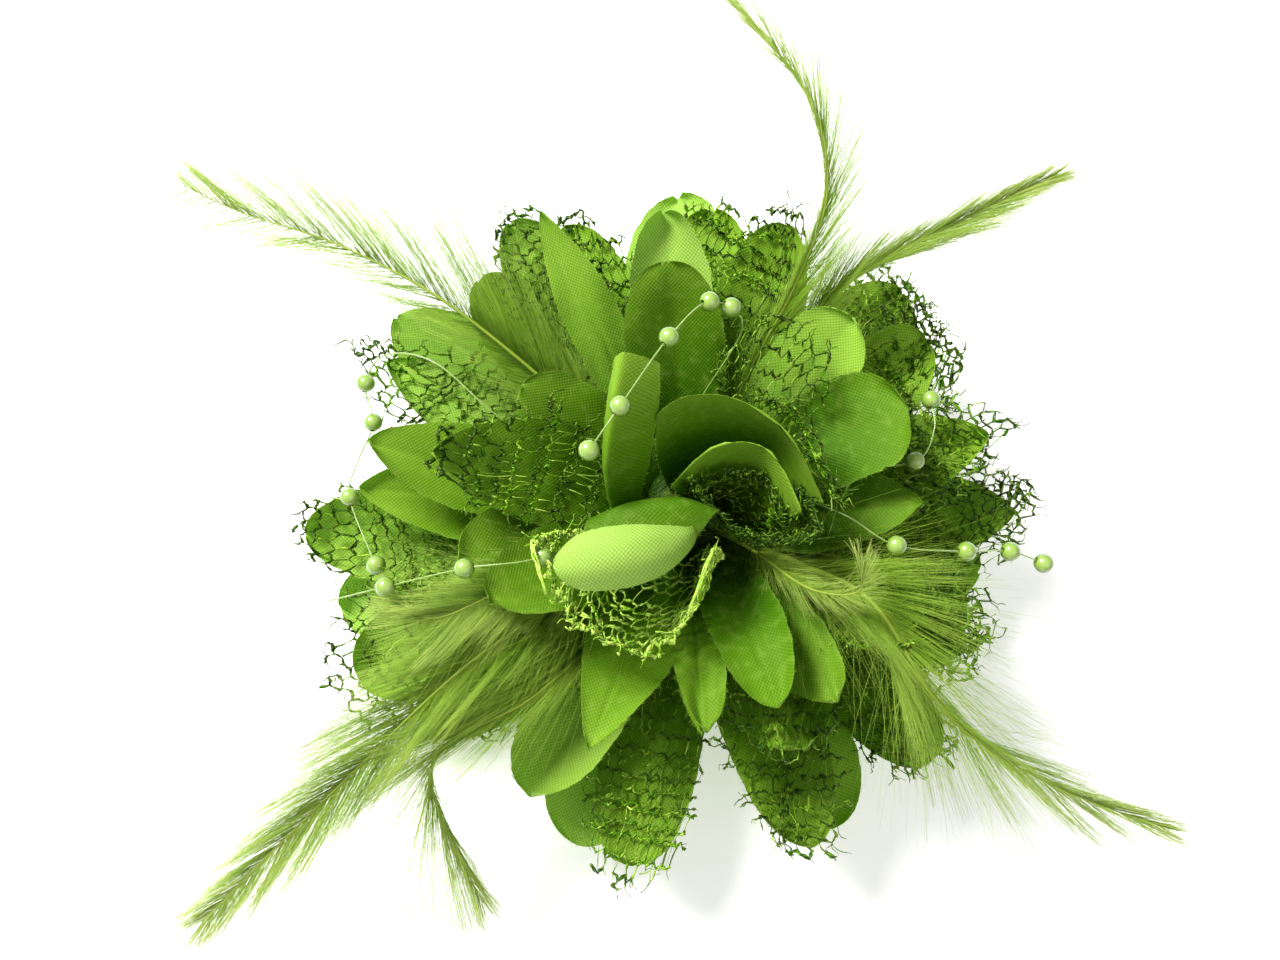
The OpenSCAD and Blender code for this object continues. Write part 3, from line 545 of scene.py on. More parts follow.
LAYERS = {
    1: ring(42, [5, 0, 0, 0, 1, -2, -2], [62, 72, 74, 70, 65, 64, 57],
            [7, 6, 7, 5, 5, 5, 6], 19, 0.1, 0.7),
    2: ring(55, [-9, 6, -3, -2, 0, 3, -6], [64, 67, 68, 70, 66, 64, 63],
            [12, 12, 12, 10, 10, 9, 11], 18, 0.2, 0.8),
    3: ring(32, [-1, 0, -3, 0, 4, 1, -3], [57, 62, 62, 73, 61, 65, 55],
            [17, 18, 18, 15.5, 14, 14, 16], 18, 0.3, 0.8),
    4: ring(20, [-6, 0, -1, 3, -2, 14, 1], [57, 58, 66, 62, 64, 50, 56],
            [21, 24, 24, 21, 19, 23, 20], 17, 0.4, 0.8),
    5: petals(0.5, 0.45, (18, 44, 22, 16, 0.6), (69, 43, 23, 16, 0.6),
              (118, 60, 33, 11, 0, -10, 1.6), (173, 60, 28, 16, 0.6, 6),
              (224, 38, 18, 15, 0.6), (273, 46, 30, 9, 0, 8, 1.2), (326, 46, 26, 15, 0.6)),
    6: petals(0.45, 0.5, (46, 42, 34, 16, 0.8), (96, 52, 34, 17, 0.9), (148, 36, 31, 14, 0.8),
              (201, 44, 32, 16, 0.8), (247, 50, 30, 16, 0.9), (301, 46, 30, 13, 0.8),
              (352, 40, 31, 15, 0.8)),
    7: petals(0.4, 0.6, (20, 38, 38, 18, 0.8), (97, 38, 41, 16, 0.8), (174, 46, 38, 18, 1.0),
              (215, 42, 36, 14, 0.8), (267, 44, 36, 9, 0, 0, 1.0)),
    8: petals(0.4, 0.66, (288, 42, 38, 13, 0.8)),
}


def vary(petal, seed):
    """Hand-cut petals differ a little in width and in how they turn."""
    rng = new_rng(seed * 13 + 5)
    return petal._replace(width=petal.width * rng.uniform(0.98, 1.2),
                          twist=petal.twist + rng.uniform(-7, 7))


# ---------------------------------------------------------------- petal surfaces
# A surface maps along (0 at the foot, 1 at the tip) and across (-1..1) to points.


def outline(along, foot, peak, blunt, tip_power):
    """Half width as a share of the widest, which is at peak."""
    grow = foot + (1 - foot) * np.sin(PI / 2 * np.clip(along / peak, 0, 1))
    past = np.clip((along - peak) / (1 - peak), 0, 1)
    return np.where(along < peak, grow, np.maximum(1 - past ** blunt, 0.0) ** tip_power)


def petal_surf(petal, z, hub, seed, ruffle=0.8, curl=None, blunt=None, peak=None,
               tip_power=None):
    """A layer petal with the life of real cloth: ruffled edges, soft creases, a curled tip."""
    rng = new_rng(seed)
    phase, rate = rng.uniform(0, TAU, 6), rng.uniform(0.9, 1.6, 4)
    swell, creases = Waves(seed + 7, 2.2), Waves(seed + 9, 4.0)
    own = new_rng(seed * 17 + 3)
    pointed = own.uniform() < 0.2
    own_blunt = own.uniform(1.5, 2.0) if pointed else own.uniform(2.0, 3.2)
    own_peak = own.uniform(0.5, 0.66)
    own_power = own.uniform(0.62, 0.78) if pointed else own.uniform(0.4, 0.55)
    own_curl = own.normal(0, 1.2)
    sweep = own.normal(0, 1.8)
    blunt, peak, tip_power = blunt or own_blunt, peak or own_peak, tip_power or own_power
    curl = own_curl if curl is None else curl
    fold = petal.fold + own.uniform(-0.3, 0.9)
    cup = petal.cup * own.uniform(0.6, 1.5)
    half = petal.width / 2
    turn = math.radians(petal.azimuth)
    foot = np.array([hub, 0, z])
    middle = np.array([hub + petal.bend * (petal.reach - hub), 0,
                       z + petal.rise * (petal.tip - z)])
    tip = np.array([petal.reach, 0, petal.tip])
    sideways = np.array([0.0, 1.0, 0.0])

    def surf(along, across):
        along, across = np.broadcast_arrays(np.asarray(along, float), np.asarray(across, float))
        run = along[..., None]
        spine = foot * (1 - run) ** 2 + middle * 2 * run * (1 - run) + tip * run * run
        heading = unit((middle - foot) * (1 - run) + (tip - middle) * run)
        twist = np.radians(petal.twist) * run
        side = sideways * np.cos(twist) + np.cross(heading, sideways) * np.sin(twist)
        normal = np.cross(heading, side)
        width = half * outline(along, FOOT / 2 / half, peak, blunt, tip_power) * across
        width = width + sweep * along * along
        sway = TAU * rate[0] * along + phase[0] + np.where(across > 0, phase[1], 0)
        flutter = TAU * 3.1 * along * rate[1] + phase[2]
        lift = (along * (cup * 2 * across * across + fold * np.abs(across))
                + ruffle * along ** 1.3 * across * across * np.sin(sway)
                + 0.35 * ruffle * along * np.abs(across) ** 3 * np.sin(flutter)
                + 0.5 * along * swell(along * 2.2, across * 0.9)
                + 0.42 * smooth(along, 0.05, 0.4)
                * creases(along * 1.6 + across * 0.5, across * 0.55 - along * 0.4))
        # a shallow groove down the middle, then the curl of the tip
        lift = (lift - 0.3 * np.exp(-(across / 0.06) ** 2) * smooth(along, 0.0, 0.15)
                * (1 - smooth(along, 0.75, 1.0)) + curl * smooth(along, 0.62, 1.0) ** 2)
        flat = spine + side * width[..., None] + normal * lift[..., None]
        x, y, height = flat[..., 0], flat[..., 1], flat[..., 2]
        return np.stack([x * math.cos(turn) - y * math.sin(turn),
                         x * math.sin(turn) + y * math.cos(turn), height], -1)

    return surf


def along_slope(surf, along, across, step):
    return (surf(np.clip(along + step, 0, 1), across)
            - surf(np.clip(along - step, 0, 1), across))


def across_slope(surf, along, across, step):
    return (surf(along, np.clip(across + step, -1, 1))
            - surf(along, np.clip(across - step, -1, 1)))


def normals(surf, along, across, step=2e-3):
    return unit(np.cross(along_slope(surf, along, across, step),
                         across_slope(surf, along, across, step)))


def loft_surf(seed, grid, tip_round, ruffle, wave=0.3):
    """A free petal: a smooth surface through a grid of points, rows from its foot to its tip."""
    grid = np.asarray(grid, float)
    last = len(grid) - 1
    phase = new_rng(seed).uniform(0, TAU, 4)
    swell = Waves(seed + 3, 2.0)

    def sheet(along, across):
        place = along * last
        column = (across * 0.5 + 0.5) * (grid.shape[1] - 1)
        rows = np.stack([spline(row, column) for row in grid], 0)
        i = np.clip(np.floor(place).astype(int), 0, last - 1)
        near = [np.take_along_axis(rows, np.clip(i + shift, 0, last)[None, ..., None], 0)[0]
                for shift in (-1, 0, 1, 2)]
        return cubic(*near, (place - i)[..., None])

    def surf(along, across):
        along, across = np.broadcast_arrays(np.asarray(along, float), np.asarray(across, float))
        past = np.clip((along - (1 - tip_round)) / tip_round, 0, 1)
        narrowed = across * np.maximum(1 - past ** 2.4, 0.0) ** 0.5
        sway = TAU * 1.4 * along + phase[0] + np.where(across > 0, phase[1], 0)
        lift = along * (wave * swell(along * 2, across) + ruffle * across * across * np.sin(sway))
        return (sheet(along, narrowed)
                + normals(sheet, along, narrowed, step=1e-3) * lift[..., None])

    return surf


def measure(surf):
    """Length along the middle and half width, both at the stations along."""
    stations = np.linspace(0, 1, 60)
    grid = surf(stations[:, None], np.linspace(-1, 1, 17)[None])
    width = np.linalg.norm(np.diff(grid, axis=1), axis=2).sum(1)
    return run_length(surf(stations, 0.0)), stations, width / 2


# ---------------------------------------------------------------- satin

SATIN_T, NET_HUB_T = 0.13, 0.1
SATIN_ROWS, SATIN_COLS, FRAYS = 46, 20, 70
HUB_HOLE_R, HUB_SPOKES = 2.7, 48


def add_satin(shape, surf, seed, tone, dark=0.0):
    """A closed thin sheet with a cut, slightly frayed edge."""
    rng = new_rng(seed)
    stations = 1 - (1 - np.linspace(0, 1, SATIN_ROWS + 1)) ** 1.45
    stations[-1] = 0.999
    along, across = np.meshgrid(stations, np.linspace(-1, 1, SATIN_COLS + 1), indexing="ij")
    across[:, [0, -1]] *= 1 + rng.normal(0, 0.012, (SATIN_ROWS + 1, 2))
    middle = surf(along, np.clip(across, -1.03, 1.03))
    rise = normals(surf, along, across) * SATIN_T / 2
    length, stations, half = measure(surf)
    run = np.interp(along, stations, length)
    cloth = np.stack([across * np.interp(along, stations, half), run,
                      np.full_like(run, seed * 1.7)], -1)
    puv = np.tile(cloth.reshape(-1, 3), (2, 1))
    verts = np.concatenate([(middle + rise).reshape(-1, 3), (middle - rise).reshape(-1, 3)])
    index = np.arange(along.size).reshape(along.shape)
    under = index.size
    corners = index[:-1, :-1], index[1:, :-1], index[1:, 1:], index[:-1, 1:]
    # along carries the painted root shade; dark spreads that painted shade further out along the
    # petal
    shade = np.tile(np.clip(along - dark, 0, 1).ravel(), 2)
    shape.add(verts, [quads(*corners), quads(corners[0], *corners[:0:-1]) + under],
              along=shade, across=np.tile(across.ravel(), 2), tone=tone, puv=puv)
    # the cut edge has its own points, so it shades as a crisp rim; its lower along paints it a touch
    # more shaded
    rim = np.concatenate([index[:-1, 0], index[-1, :-1], index[::-1, -1][:-1],
                          index[0, ::-1][:-1]])
    here = np.arange(len(rim))
    after = np.roll(here, -1)
    pair = np.concatenate([rim, rim + under])
    shape.add(verts[pair], [quads(here + len(rim), after + len(rim), after, here)],
              along=shade[pair] * 0.9, across=0.0, tone=tone, puv=puv[pair])
    # loose threads along both sides
    place = np.clip(1 - (1 - rng.uniform(0.25, 1, FRAYS)) ** 1.4, 0, 0.998)
    side = rng.choice([-1.0, 1.0], FRAYS)
    root = surf(place, side * 0.995)
    outward = unit(root - surf(place, side * 0.9))
    forward = unit(along_slope(surf, place, side * 0.99, 0.01))
    normal = normals(surf, place, side * 0.98)
    half_step = outward * rng.uniform(0.15, 0.75, FRAYS)[:, None] * 0.5
    paths = [root - outward * 0.1]
    bend = root
    for forward_spread, normal_spread in ((0.15, 0.08), (0.3, 0.2)):
        bend = (bend + half_step + forward * rng.normal(0, forward_spread, (FRAYS, 1))
                + normal * rng.normal(0, normal_spread, (FRAYS, 1)))
        paths.append(bend)
    shape.tubes(np.stack(paths, 1), [[0.05, 0.04, 0.02]], 3, along=0.95, across=0.0, tone=tone)


def add_hub(shape, z, radius, thick, mat=0):
    """The flat ring that joins the petals of a layer."""
    angle = np.linspace(0, TAU, HUB_SPOKES + 1)[:-1]
    radii = np.array([HUB_HOLE_R, 4.2, 6.0, radius + 0.4])[:, None]
    height = z + 0.05 * np.sin(angle * 5)[None] * np.array([0, 0.5, 1, 0])[:, None]
    middle = np.stack([radii * np.cos(angle), radii * np.sin(angle), height], -1)
    middle = middle.reshape(-1, 3)
    rise = [0, 0, thick / 2]
    index, after, faces = polar_faces(4, HUB_SPOKES)
    under = index.size
    faces.append(quads(index[0] + under, index[0], after[0], after[0] + under))
    # along and tone 0 give the ring the darkest satin colour, painted shade in the middle of the
    # flower
    shape.add(np.concatenate([middle + rise, middle - rise]), faces, mat,
              along=0.0, across=0.0, tone=0.0)


# ---------------------------------------------------------------- net

# material indices of a net piece
CHAIN, LINK, HUB = 0, 1, 2


def largest_web(nodes, links):
    """Keep the meshes that hang together: the biggest connected part of the lattice."""
    label = np.where(nodes, np.arange(nodes.size).reshape(nodes.shape), -1)
    row = nodes[:, :-1] & nodes[:, 1:]
    col = links & nodes[:-1] & nodes[1:]
    for _ in range(nodes.size):
        old = label.copy()
        best = np.maximum(label[:, :-1], label[:, 1:])
        label[:, :-1] = np.where(row, best, label[:, :-1])
        label[:, 1:] = np.where(row, np.maximum(best, label[:, 1:]), label[:, 1:])
        best = np.maximum(label[:-1], label[1:])
        label[:-1] = np.where(col, best, label[:-1])
        label[1:] = np.where(col, np.maximum(best, label[1:]), label[1:])
        if (old == label).all():
            break
    if not nodes.any():
        return nodes
    labels, counts = np.unique(label[nodes], return_counts=True)
    return nodes & (label == labels[counts.argmax()])


def add_net(shape, surf, seed, chain=2.9, link=0.92, size=1.0, spill=1.2, start=0.1, warp=1.7,
            bright=0.0, offset=0.25, ragged=0.12, rim=False):
    """An open net: heavy crinkled chains across the petal, thin shiny links along it.

    chain, link: spacing of the chains and of the links; size: yarn thickness; spill: length
    of the torn ends; start: where the net begins; warp: how far the lattice is pulled about;
    offset: height over the surface; ragged: unevenness of the outline; rim: a bundled edge.
    """
    rng = new_rng(seed)
    length, stations, half = measure(surf)
    total = length[-1]
    lean = rng.normal(0, 0.22)
    widest = half.max() + link
    reach = widest * abs(math.tan(lean))
    rows = np.arange(start * total - reach, total + reach + chain * 0.4, chain)
    rows = rows + rng.normal(0, 0.2 * chain, rows.shape).clip(-0.3 * chain, 0.3 * chain)
    side_links = math.ceil(widest * 1.35 / link) + 1
    cols = np.arange(-side_links, side_links + 1) * link
    pull_x, pull_y = Waves(seed + 1, 0.16), Waves(seed + 2, 0.16)
    tear, crumple = Waves(seed + 4, 0.9), Waves(seed + 6, 0.35)

    # lattice on the flat cloth: every second node is shifted, then all are leant and warped
    raised = (np.arange(len(rows))[:, None] + np.arange(len(cols))) % 2
    from_mid = rows[:, None] + (raised - 0.5) * chain * 0.34 - total / 2
    x = cols * math.cos(lean) - from_mid * math.sin(lean)
    y = cols * math.sin(lean) + from_mid * math.cos(lean) + total / 2
    shift_x, shift_y = pull_x(x, y), pull_y(x, y)
    x = x + warp * shift_x + rng.normal(0, 0.15, x.shape)
    y = y + warp * shift_y + rng.normal(0, 0.19, x.shape)
    along = np.interp(y, length, stations)
    across = x / np.maximum(np.interp(along, stations, half), 0.3)

    # which nodes and ties are there
    limit = 0.98 + ragged * (tear(y, np.sign(x) * 3) - 0.4)
    end = total * (1.0 - 0.5 * ragged * (1 + tear(x, 0 * x)) * 0.4)
    inside = (np.abs(across) <= limit) & (y <= end) & (y > start * total * 0.8)
    whole = inside & (rng.uniform(size=inside.shape) > 0.012)
    tied = (inside[:-1] & inside[1:] & (raised[:-1] == 1)
            & (rng.uniform(size=inside[1:].shape) > 0.05))
    inside = largest_web(whole, tied)

    along, across = np.clip(along, 0, 0.998), np.clip(across, -1, 1)
    normal = normals(surf, along, np.clip(across, -0.97, 0.97))
    outer = np.maximum(smooth(along, 0.55, 0.95),
                       smooth(np.abs(across), 0.7, 1.0) * smooth(along, 0.2, 0.4))
    lift = (offset + 0.55 * crumple(x, y)
            + (0.13 + 0.3 * outer) * rng.normal(0, 1, along.shape))
    point = surf(along, across) + normal * lift[..., None]

    def strands(picked, to_row, to_col, mat, radius, tone, sag, rings):
        """Crinkled yarn from each picked node to the one to_row, to_col further on."""
        row, col = np.nonzero(picked)
        count = len(row)
        if count == 0:
            return
        first, last = point[row, col], point[row + to_row, col + to_col]
        rise, edge = normal[row, col], outer[row, col]
        run = np.linspace(0, 1, rings)
        paths = (first[:, None] * (1 - run[None, :, None])
                 + last[:, None] * run[None, :, None])
        side = unit(np.cross(unit(last - first), rise))
        jig = (side * rng.normal(0, sag, (count, 1))
               + rise * rng.normal(0, sag * 0.9, (count, 1)))
        paths = paths + jig[:, None] * np.sin(PI * run)[None, :, None]
        radii = (radius * (0.55 + rng.gamma(3.0, 0.16, (count, 1)))
                 * (1 + 0.22 * rng.normal(0, 1, (count, rings)).clip(-1.6, 1.6)))
        radii = radii * (1 + 0.45 * edge[:, None])
        spin = rng.uniform(0, PI, (count, 1)) + run[None] * rng.uniform(-3, 3, (count, 1))
        tone = np.clip(tone - 0.25 * edge * (1 - bright) + rng.normal(0, 0.25, count), 0, 1)
        shape.tubes(paths, radii, flat=0.5, spin=spin, ref=rise[:, None], mat=mat,
                    tone=tone[:, None])

    # heavy chains, each one yarn that runs on across the petal until the mesh is torn
    for row, kept in enumerate(inside):
        cuts = np.flatnonzero(np.diff(np.concatenate([[0], kept.astype(int), [0]])))
        for first, last in cuts.reshape(-1, 2):
            if last - first < 2:
                continue
            count = 2 * (last - first) - 1
            run = np.arange(count) / 2
            nodes = np.arange(last - first)
            path, rise = [
                np.stack([np.interp(run, nodes, values[row, first:last, c])
                          for c in range(3)], -1) for values in (point, normal)]
            rise = unit(rise)
            edge = np.interp(run, nodes, outer[row, first:last])
            side = unit(np.cross(np.gradient(path, axis=0), rise))
            path = path + (side * rng.normal(0, 0.12, (count, 1))
                           + rise * rng.normal(0, 0.12, (count, 1)))
            phase = rng.uniform(0, TAU)
            bulge = np.exp(0.32 * np.sin(run * 1.7 + phase) + 0.22 * rng.normal(0, 1, count))
            radii = 0.165 * size * bulge.clip(0.45, 2.2) * (1 + 0.6 * edge)
            mat = LINK if rng.uniform() < 0.08 + bright * 0.85 else CHAIN
            tone = (0.36 * (1 - bright) + 0.85 * bright - 0.3 * edge * (1 - bright)
                    + 0.22 * np.sin(run * 0.9 + 2 * phase) + rng.normal(0, 0.12, count))
            turn = (run * 2.6 + phase)[:, None]
            # two plies wind round each other
            for ply in (-1.0, 1.0):
                away = ((side * np.cos(turn) + rise * np.sin(turn)) * ply
                        * (radii * 0.75)[:, None])
                shape.tubes((path + away)[None], radii, flat=0.5,
                            spin=run * 1.9 + phase + ply, ref=rise[None], mat=mat,
                            tone=np.clip(tone, 0, 1))

    # links between the chains, heavier and dark near the outline
    linked = inside[:-1] & inside[1:] & tied
    heavy = linked & (rng.uniform(size=linked.shape) < outer[1:] * 1.3 * (bright < 0.6))
    for picked, mat, radius in ((linked & ~heavy, LINK, 0.1), (heavy, CHAIN, 0.15)):
        strands(picked, 1, 0, mat, radius * size, tone=0.55 + 0.3 * bright, sag=0.2, rings=4)
    # a few loose strands that wander off the mesh
    loose = (inside[:-2, :-1] & inside[2:, 1:]
             & (rng.uniform(size=inside[2:, 1:].shape) < 0.10))
    strands(loose, 2, 1, LINK, 0.07 * size, tone=0.6, sag=0.6, rings=5)

    # crinkled knots at the nodes
    knotted = inside & (rng.uniform(size=inside.shape) > 0.55)
    knot = point[knotted]
    count = len(knot)
    if count:
        grow = (1 + 0.6 * outer[knotted])[:, None]
        arm = unit(rng.normal(0, 1, knot.shape)) * 0.22 * size * grow
        middle = knot + rng.normal(0, 0.06, knot.shape)
        end_radius = np.full(count, 0.07)
        radii = np.stack([end_radius, rng.uniform(0.16, 0.32, count), end_radius], 1)
        tone = np.clip(rng.normal(0.4 + 0.3 * bright, 0.2, count), 0, 1)
        shape.tubes(np.stack([knot - arm, middle, knot + arm], 1), radii * size * grow,
                    mat=LINK if bright > 0.5 else CHAIN, tone=tone[:, None])

    # torn edge: crooked ends that grow from the outermost meshes
    core = np.zeros_like(inside)
    core[1:-1, 1:-1] = (inside[:-2, 1:-1] & inside[2:, 1:-1]
                        & inside[1:-1, :-2] & inside[1:-1, 2:])
    row, col = np.nonzero(inside & ~core & (along > 0.3))
    if len(row):
        count = int(min(len(row) * 1.8, 190))
        pick = rng.integers(0, len(row), count)
        row, col = row[pick], col[pick]
        root, rise = point[row, col], normal[row, col]
        run, place = along[row, col], across[row, col]
        side = unit(across_slope(surf, run, place, 0.02))
        forward = unit(along_slope(surf, run, place, 0.01))
        place = place[:, None]
        at_tip = smooth(run, 0.75, 0.98)[:, None]
        outward = unit(side * np.sign(place) * (1.1 - at_tip) * (0.4 + np.abs(place))
                       + forward * (0.3 + at_tip * 1.2) + rng.normal(0, 0.3, (count, 3)))
        tangent = unit(np.cross(rise, outward))
        reach = rng.gamma(2.0, spill * 0.5, count)[:, None].clip(0.4, 2.8 * spill)
        run = np.linspace(0, 1, 5)[None]
        zigzag = rng.normal(0, 0.2, (count, 5)) * run
        curl = rng.normal(0, 0.5, (count, 1))
        up = reach * rng.normal(0.15, 0.45, (count, 1)) * run ** 1.5
        paths = (root[:, None] + outward[:, None] * (reach * run)[..., None]
                 + tangent[:, None] * (reach * (curl * run ** 2 + zigzag))[..., None]
                 + rise[:, None] * up[..., None])
        radii = 0.15 * size * (1 - 0.4 * run) * np.exp(rng.normal(0, 0.3, (count, 5)))
        spin = rng.uniform(0, PI, (count, 1)) + run * 3
        tone = np.clip(rng.uniform(0.0, 0.7, count) + bright * 0.4, 0, 1)
        shape.tubes(paths, radii, flat=0.6, spin=spin,
                    mat=LINK if bright > 0.4 else CHAIN, tone=tone[:, None])

    if rim:
        run = np.linspace(start + 0.25, 0.985, 130)
        for side in (-1.0, 1.0):
            for c in range(3):
                place = 0.97 + 0.03 * np.sin(run * 61 + c * 2) + 0.015 * rng.normal(0, 1, 130)
                up = 0.2 + 0.35 * np.sin(run * (70 + 9 * c) + c)[..., None]
                path = (surf(run, np.clip(side * place, -1, 1))
                        + normals(surf, run, side * 0.95) * up)
                path = path + rng.normal(0, 0.12, path.shape)
                radii = 0.17 * size * (1 + 0.4 * np.sin(run * 140 + c))
                shape.tubes(path[None], radii, mat=LINK, tone=0.8)


# ---------------------------------------------------------------- petal layers


def satin_layer(layer, tones, ruffle=0.8, looks={}, extra=()):
    """tones: each petal's tone, partly painted light and shade; looks: settings of single petals,
    where dark spreads the painted root shade; extra: (surface, tone) of free petals.
    """
    shape = Shape()
    z = sheet_mid(SATIN_SHEETS[layer - 1])
    add_hub(shape, z, HUB_R, SATIN_T)
    for i, petal in enumerate(LAYERS[layer]):
        look = {"ruffle": ruffle, **looks.get(i, {})}
        dark = look.pop("dark", 0.0)
        seed = 100 * layer + i
        surf = petal_surf(vary(petal, seed), z, HUB_R, seed, **look)
        add_satin(shape, surf, seed, tones[i], dark)
    for j, (surf, tone) in enumerate(extra):
        add_satin(shape, surf, 100 * layer + 50 + j, tone)
    shape.build(f"satin_petals_{layer}", [SATIN], "satin", f"satin_layer_{layer}")


def net_layer(layer, rows=(), forms={}, looks={}, second={}, extra=()):
    """The net on a satin layer.

    rows: (petal, seed of the satin petal it lies on); forms, looks: settings of the surface
    and of the net; second: where a finer mesh on top starts; extra: (surface, net settings).
    """
    z = sheet_mid(SATIN_SHEETS[layer - 1] + 1)

    def build(shape, name):
        shape.build(name, [YARN_DARK, YARN_LIGHT, SATIN], "net", f"net_layer_{layer}")

    hub = Shape()
    add_hub(hub, z, NET_HUB_R, NET_HUB_T, HUB)
    build(hub, f"net_hub_{layer}")
    for i, (petal, seed) in enumerate(rows):
        surf = petal_surf(petal, z, NET_HUB_R, seed, **forms.get(i, {}))
        shape = Shape()
        own = new_rng(50 * layer + i)
        look = dict(bright=own.choice([0.0, 0.12, 0.3, 0.5]), chain=own.uniform(2.3, 3.1),
                    size=own.uniform(0.8, 1.0))
        look.update(looks.get(i, {}))
        add_net(shape, surf, 1000 + 100 * layer + i, **look)
        if i in second:
            look.update(bright=0.35, chain=2.3, link=1.1, size=0.66, warp=2.4, offset=0.75,
                        spill=0.7, ragged=0.25, start=second[i])
            add_net(shape, surf, 3000 + 100 * layer + i, **look)
        build(shape, f"net_petal_{layer}_{i}")
    for j, (surf, look) in enumerate(extra):
        shape = Shape()
        add_net(shape, surf, 1000 + 100 * layer + 50 + j, **look)
        build(shape, f"net_cup_{layer}_{j}")


def cover(layer, picks, longer, wider=4.0):
    """Net petals over the picked satin petals, a little larger and 1.95 higher."""
    rows = []
    for i in picks:
        seed = 100 * layer + i
        petal = vary(LAYERS[layer][i], seed)
        tip = petal.tip + 1.95 + longer * (petal.tip - 10) / (petal.reach - HUB_R)
        rows.append((petal._replace(reach=petal.reach + longer, tip=tip,
                                    width=petal.width + wider), seed))
    return rows


# the tones paint each petal partly lit or shaded, and dark spreads a petal's painted root shade
satin_layer(1, [0.75, 0.95, 1.0, 1.0, 0.9, 0.75, 0.75], ruffle=1.2,
            looks=dict.fromkeys((1, 4, 5), dict(blunt=2.8, tip_power=0.5, peak=0.66)))
satin_layer(2, [0.65, 0.6, 0.9, 0.8, 0.35, 0.45, 0.6], ruffle=1.0)
satin_layer(3, [0.6, 0.7, 0.7, 0.85, 0.85, 0.4, 0.5], ruffle=0.9)
satin_layer(4, [0.5, 0.45, 0.85, 0.7, 0.5, 0.55, 0.6], ruffle=0.9)
satin_layer(5, [0.5, 0.35, 0.75, 0.6, 0.35, 0.12, 0.5],
            looks=dict.fromkeys((2, 5), dict(blunt=1.6, tip_power=0.8)))
satin_layer(6, [0.8, 0.98, 0.25, 0.35, 0.5, 0.3, 0.05],
            looks={0: dict(blunt=4.0, peak=0.7), 1: dict(blunt=2.2, ruffle=0.5),
                   4: dict(blunt=1.5, tip_power=0.85, ruffle=0.6)})
satin_layer(7, [0.3, 0.3, 0.6, 0.18, 0.2],
            looks={0: dict(blunt=4.0, peak=0.72, ruffle=0.5, curl=-1.5, dark=0.3),
                   1: dict(blunt=2.2, ruffle=0.5, curl=1.0, dark=0.1)})

# the petals that stand and fold in the middle; each line of a grid runs across the petal
FOLDED = loft_surf(801, [  # folded over the front net cup: pointed at its fold, broad at its end
    [[-3, -6, 17], [-2, -7, 17], [-1, -8, 17], [0, -8, 17]],
    [[-3, -8, 33], [-2, -9, 33], [-1.5, -10, 33], [-1, -11, 32]],
    [[-1.5, -12.3, 43], [-1, -13.3, 43.8], [-0.8, -14.3, 43.3], [-1, -15.2, 42]],
    [[-6, -12.8, 46], [-6, -15, 47], [-6, -18, 46.3], [-5.5, -20, 43.6]],
    [[-12, -13, 47], [-12, -16, 48.2], [-12, -19.5, 47.3], [-11.5, -22.4, 43.8]],
    [[-18.5, -14, 46.4], [-19, -17, 47.2], [-19, -20.5, 46.4], [-18, -23, 43.4]],
    [[-22.5, -16.2, 44.5], [-23.6, -18, 45], [-23.6, -20, 44.5], [-22.5, -22, 43]],
], tip_round=0.14, ruffle=0.25)
SMALL = loft_surf(807, [  # closes the gap between the folded petal and the standing one
    [[-6, -3, 17], [-3, -4, 17.5], [0, -4, 17.5], [3, -5, 17]],
    [[-14, -6, 30], [-8, -5, 32], [-2, -5, 32.5], [3, -6, 30]],
    [[-18.5, -10, 38.5], [-12, -8, 41], [-3.5, -7, 41.8], [3, -8.5, 40]],
    [[-19, -13, 39.5], [-12, -12, 42.3], [-4, -11, 42.6], [1, -11.5, 41]],
    [[-18, -16, 38.5], [-12, -16, 41], [-5, -15, 41.3], [-1, -14, 40.5]],
], tip_round=0.1, ruffle=0.15, wave=0.25)
STANDING = loft_surf(802, [  # narrow petal on edge, folded along its length
    [[-7, -4, 17], [-7, -4.5, 17.5], [-6.5, -5, 17]],
    [[-14, -6, 28], [-13, -6.5, 29], [-10, -5, 28]],
    [[-16, -1, 38], [-15, -2, 40], [-8, 2, 36]],
    [[-15.5, 7, 46], [-13.5, 6, 47.5], [-6.5, 10, 43]],
    [[-14, 15, 50.5], [-12, 15, 51.5], [-6.5, 15, 48]],
], tip_round=0.03, ruffle=0.2, wave=0.2)
BACK_WALL = loft_surf(803, [  # wide cupped petal behind the middle
    [[-4, 2, 17], [-1, 4, 17], [3, 4, 17], [6, 2, 17], [7, -1, 17]],
    [[-6, 3, 26], [-2, 6, 27], [5, 7, 27], [12, 4, 27], [15, -2, 26]],
    [[-7, 5, 35], [-2, 8, 37], [6, 8, 37.5], [15, 4, 36], [19, -5, 34]],
    [[-7, 8, 42.5], [-2, 10, 45], [6, 9, 46], [15, 3.5, 44.5], [21, -7, 40.5]],
], tip_round=0.05, ruffle=0.5)
INNER_WALL = loft_surf(804, [  # its smaller neighbour, the lip of the basket
    [[-1, -1, 17], [2, 1, 17], [5, 1, 17], [7, -2, 17]],
    [[-3, -2, 27], [3, 1, 28], [10, 0, 28], [14, -6, 27]],
    [[-4, -3, 36], [3, 2.5, 40], [12, 2, 41], [18, -8, 38]],
], tip_round=0.06, ruffle=0.4, wave=0.25)
BASKET = loft_surf(805, [  # net cup on the right (+X) of the middle
    [[2, -3, 17], [5, -5, 17], [7, -5, 17], [8, -3, 17]],
    [[1, -4, 25], [8, -9, 23], [15, -8, 24], [16, -2, 26]],
    [[-1, -3, 33], [9, -11, 29], [19, -10, 31], [18, -2, 34]],
    [[-3, -2, 38], [8, -11, 35], [20, -12, 38], [18, -4, 40]],
], tip_round=0.1, ruffle=0.5)
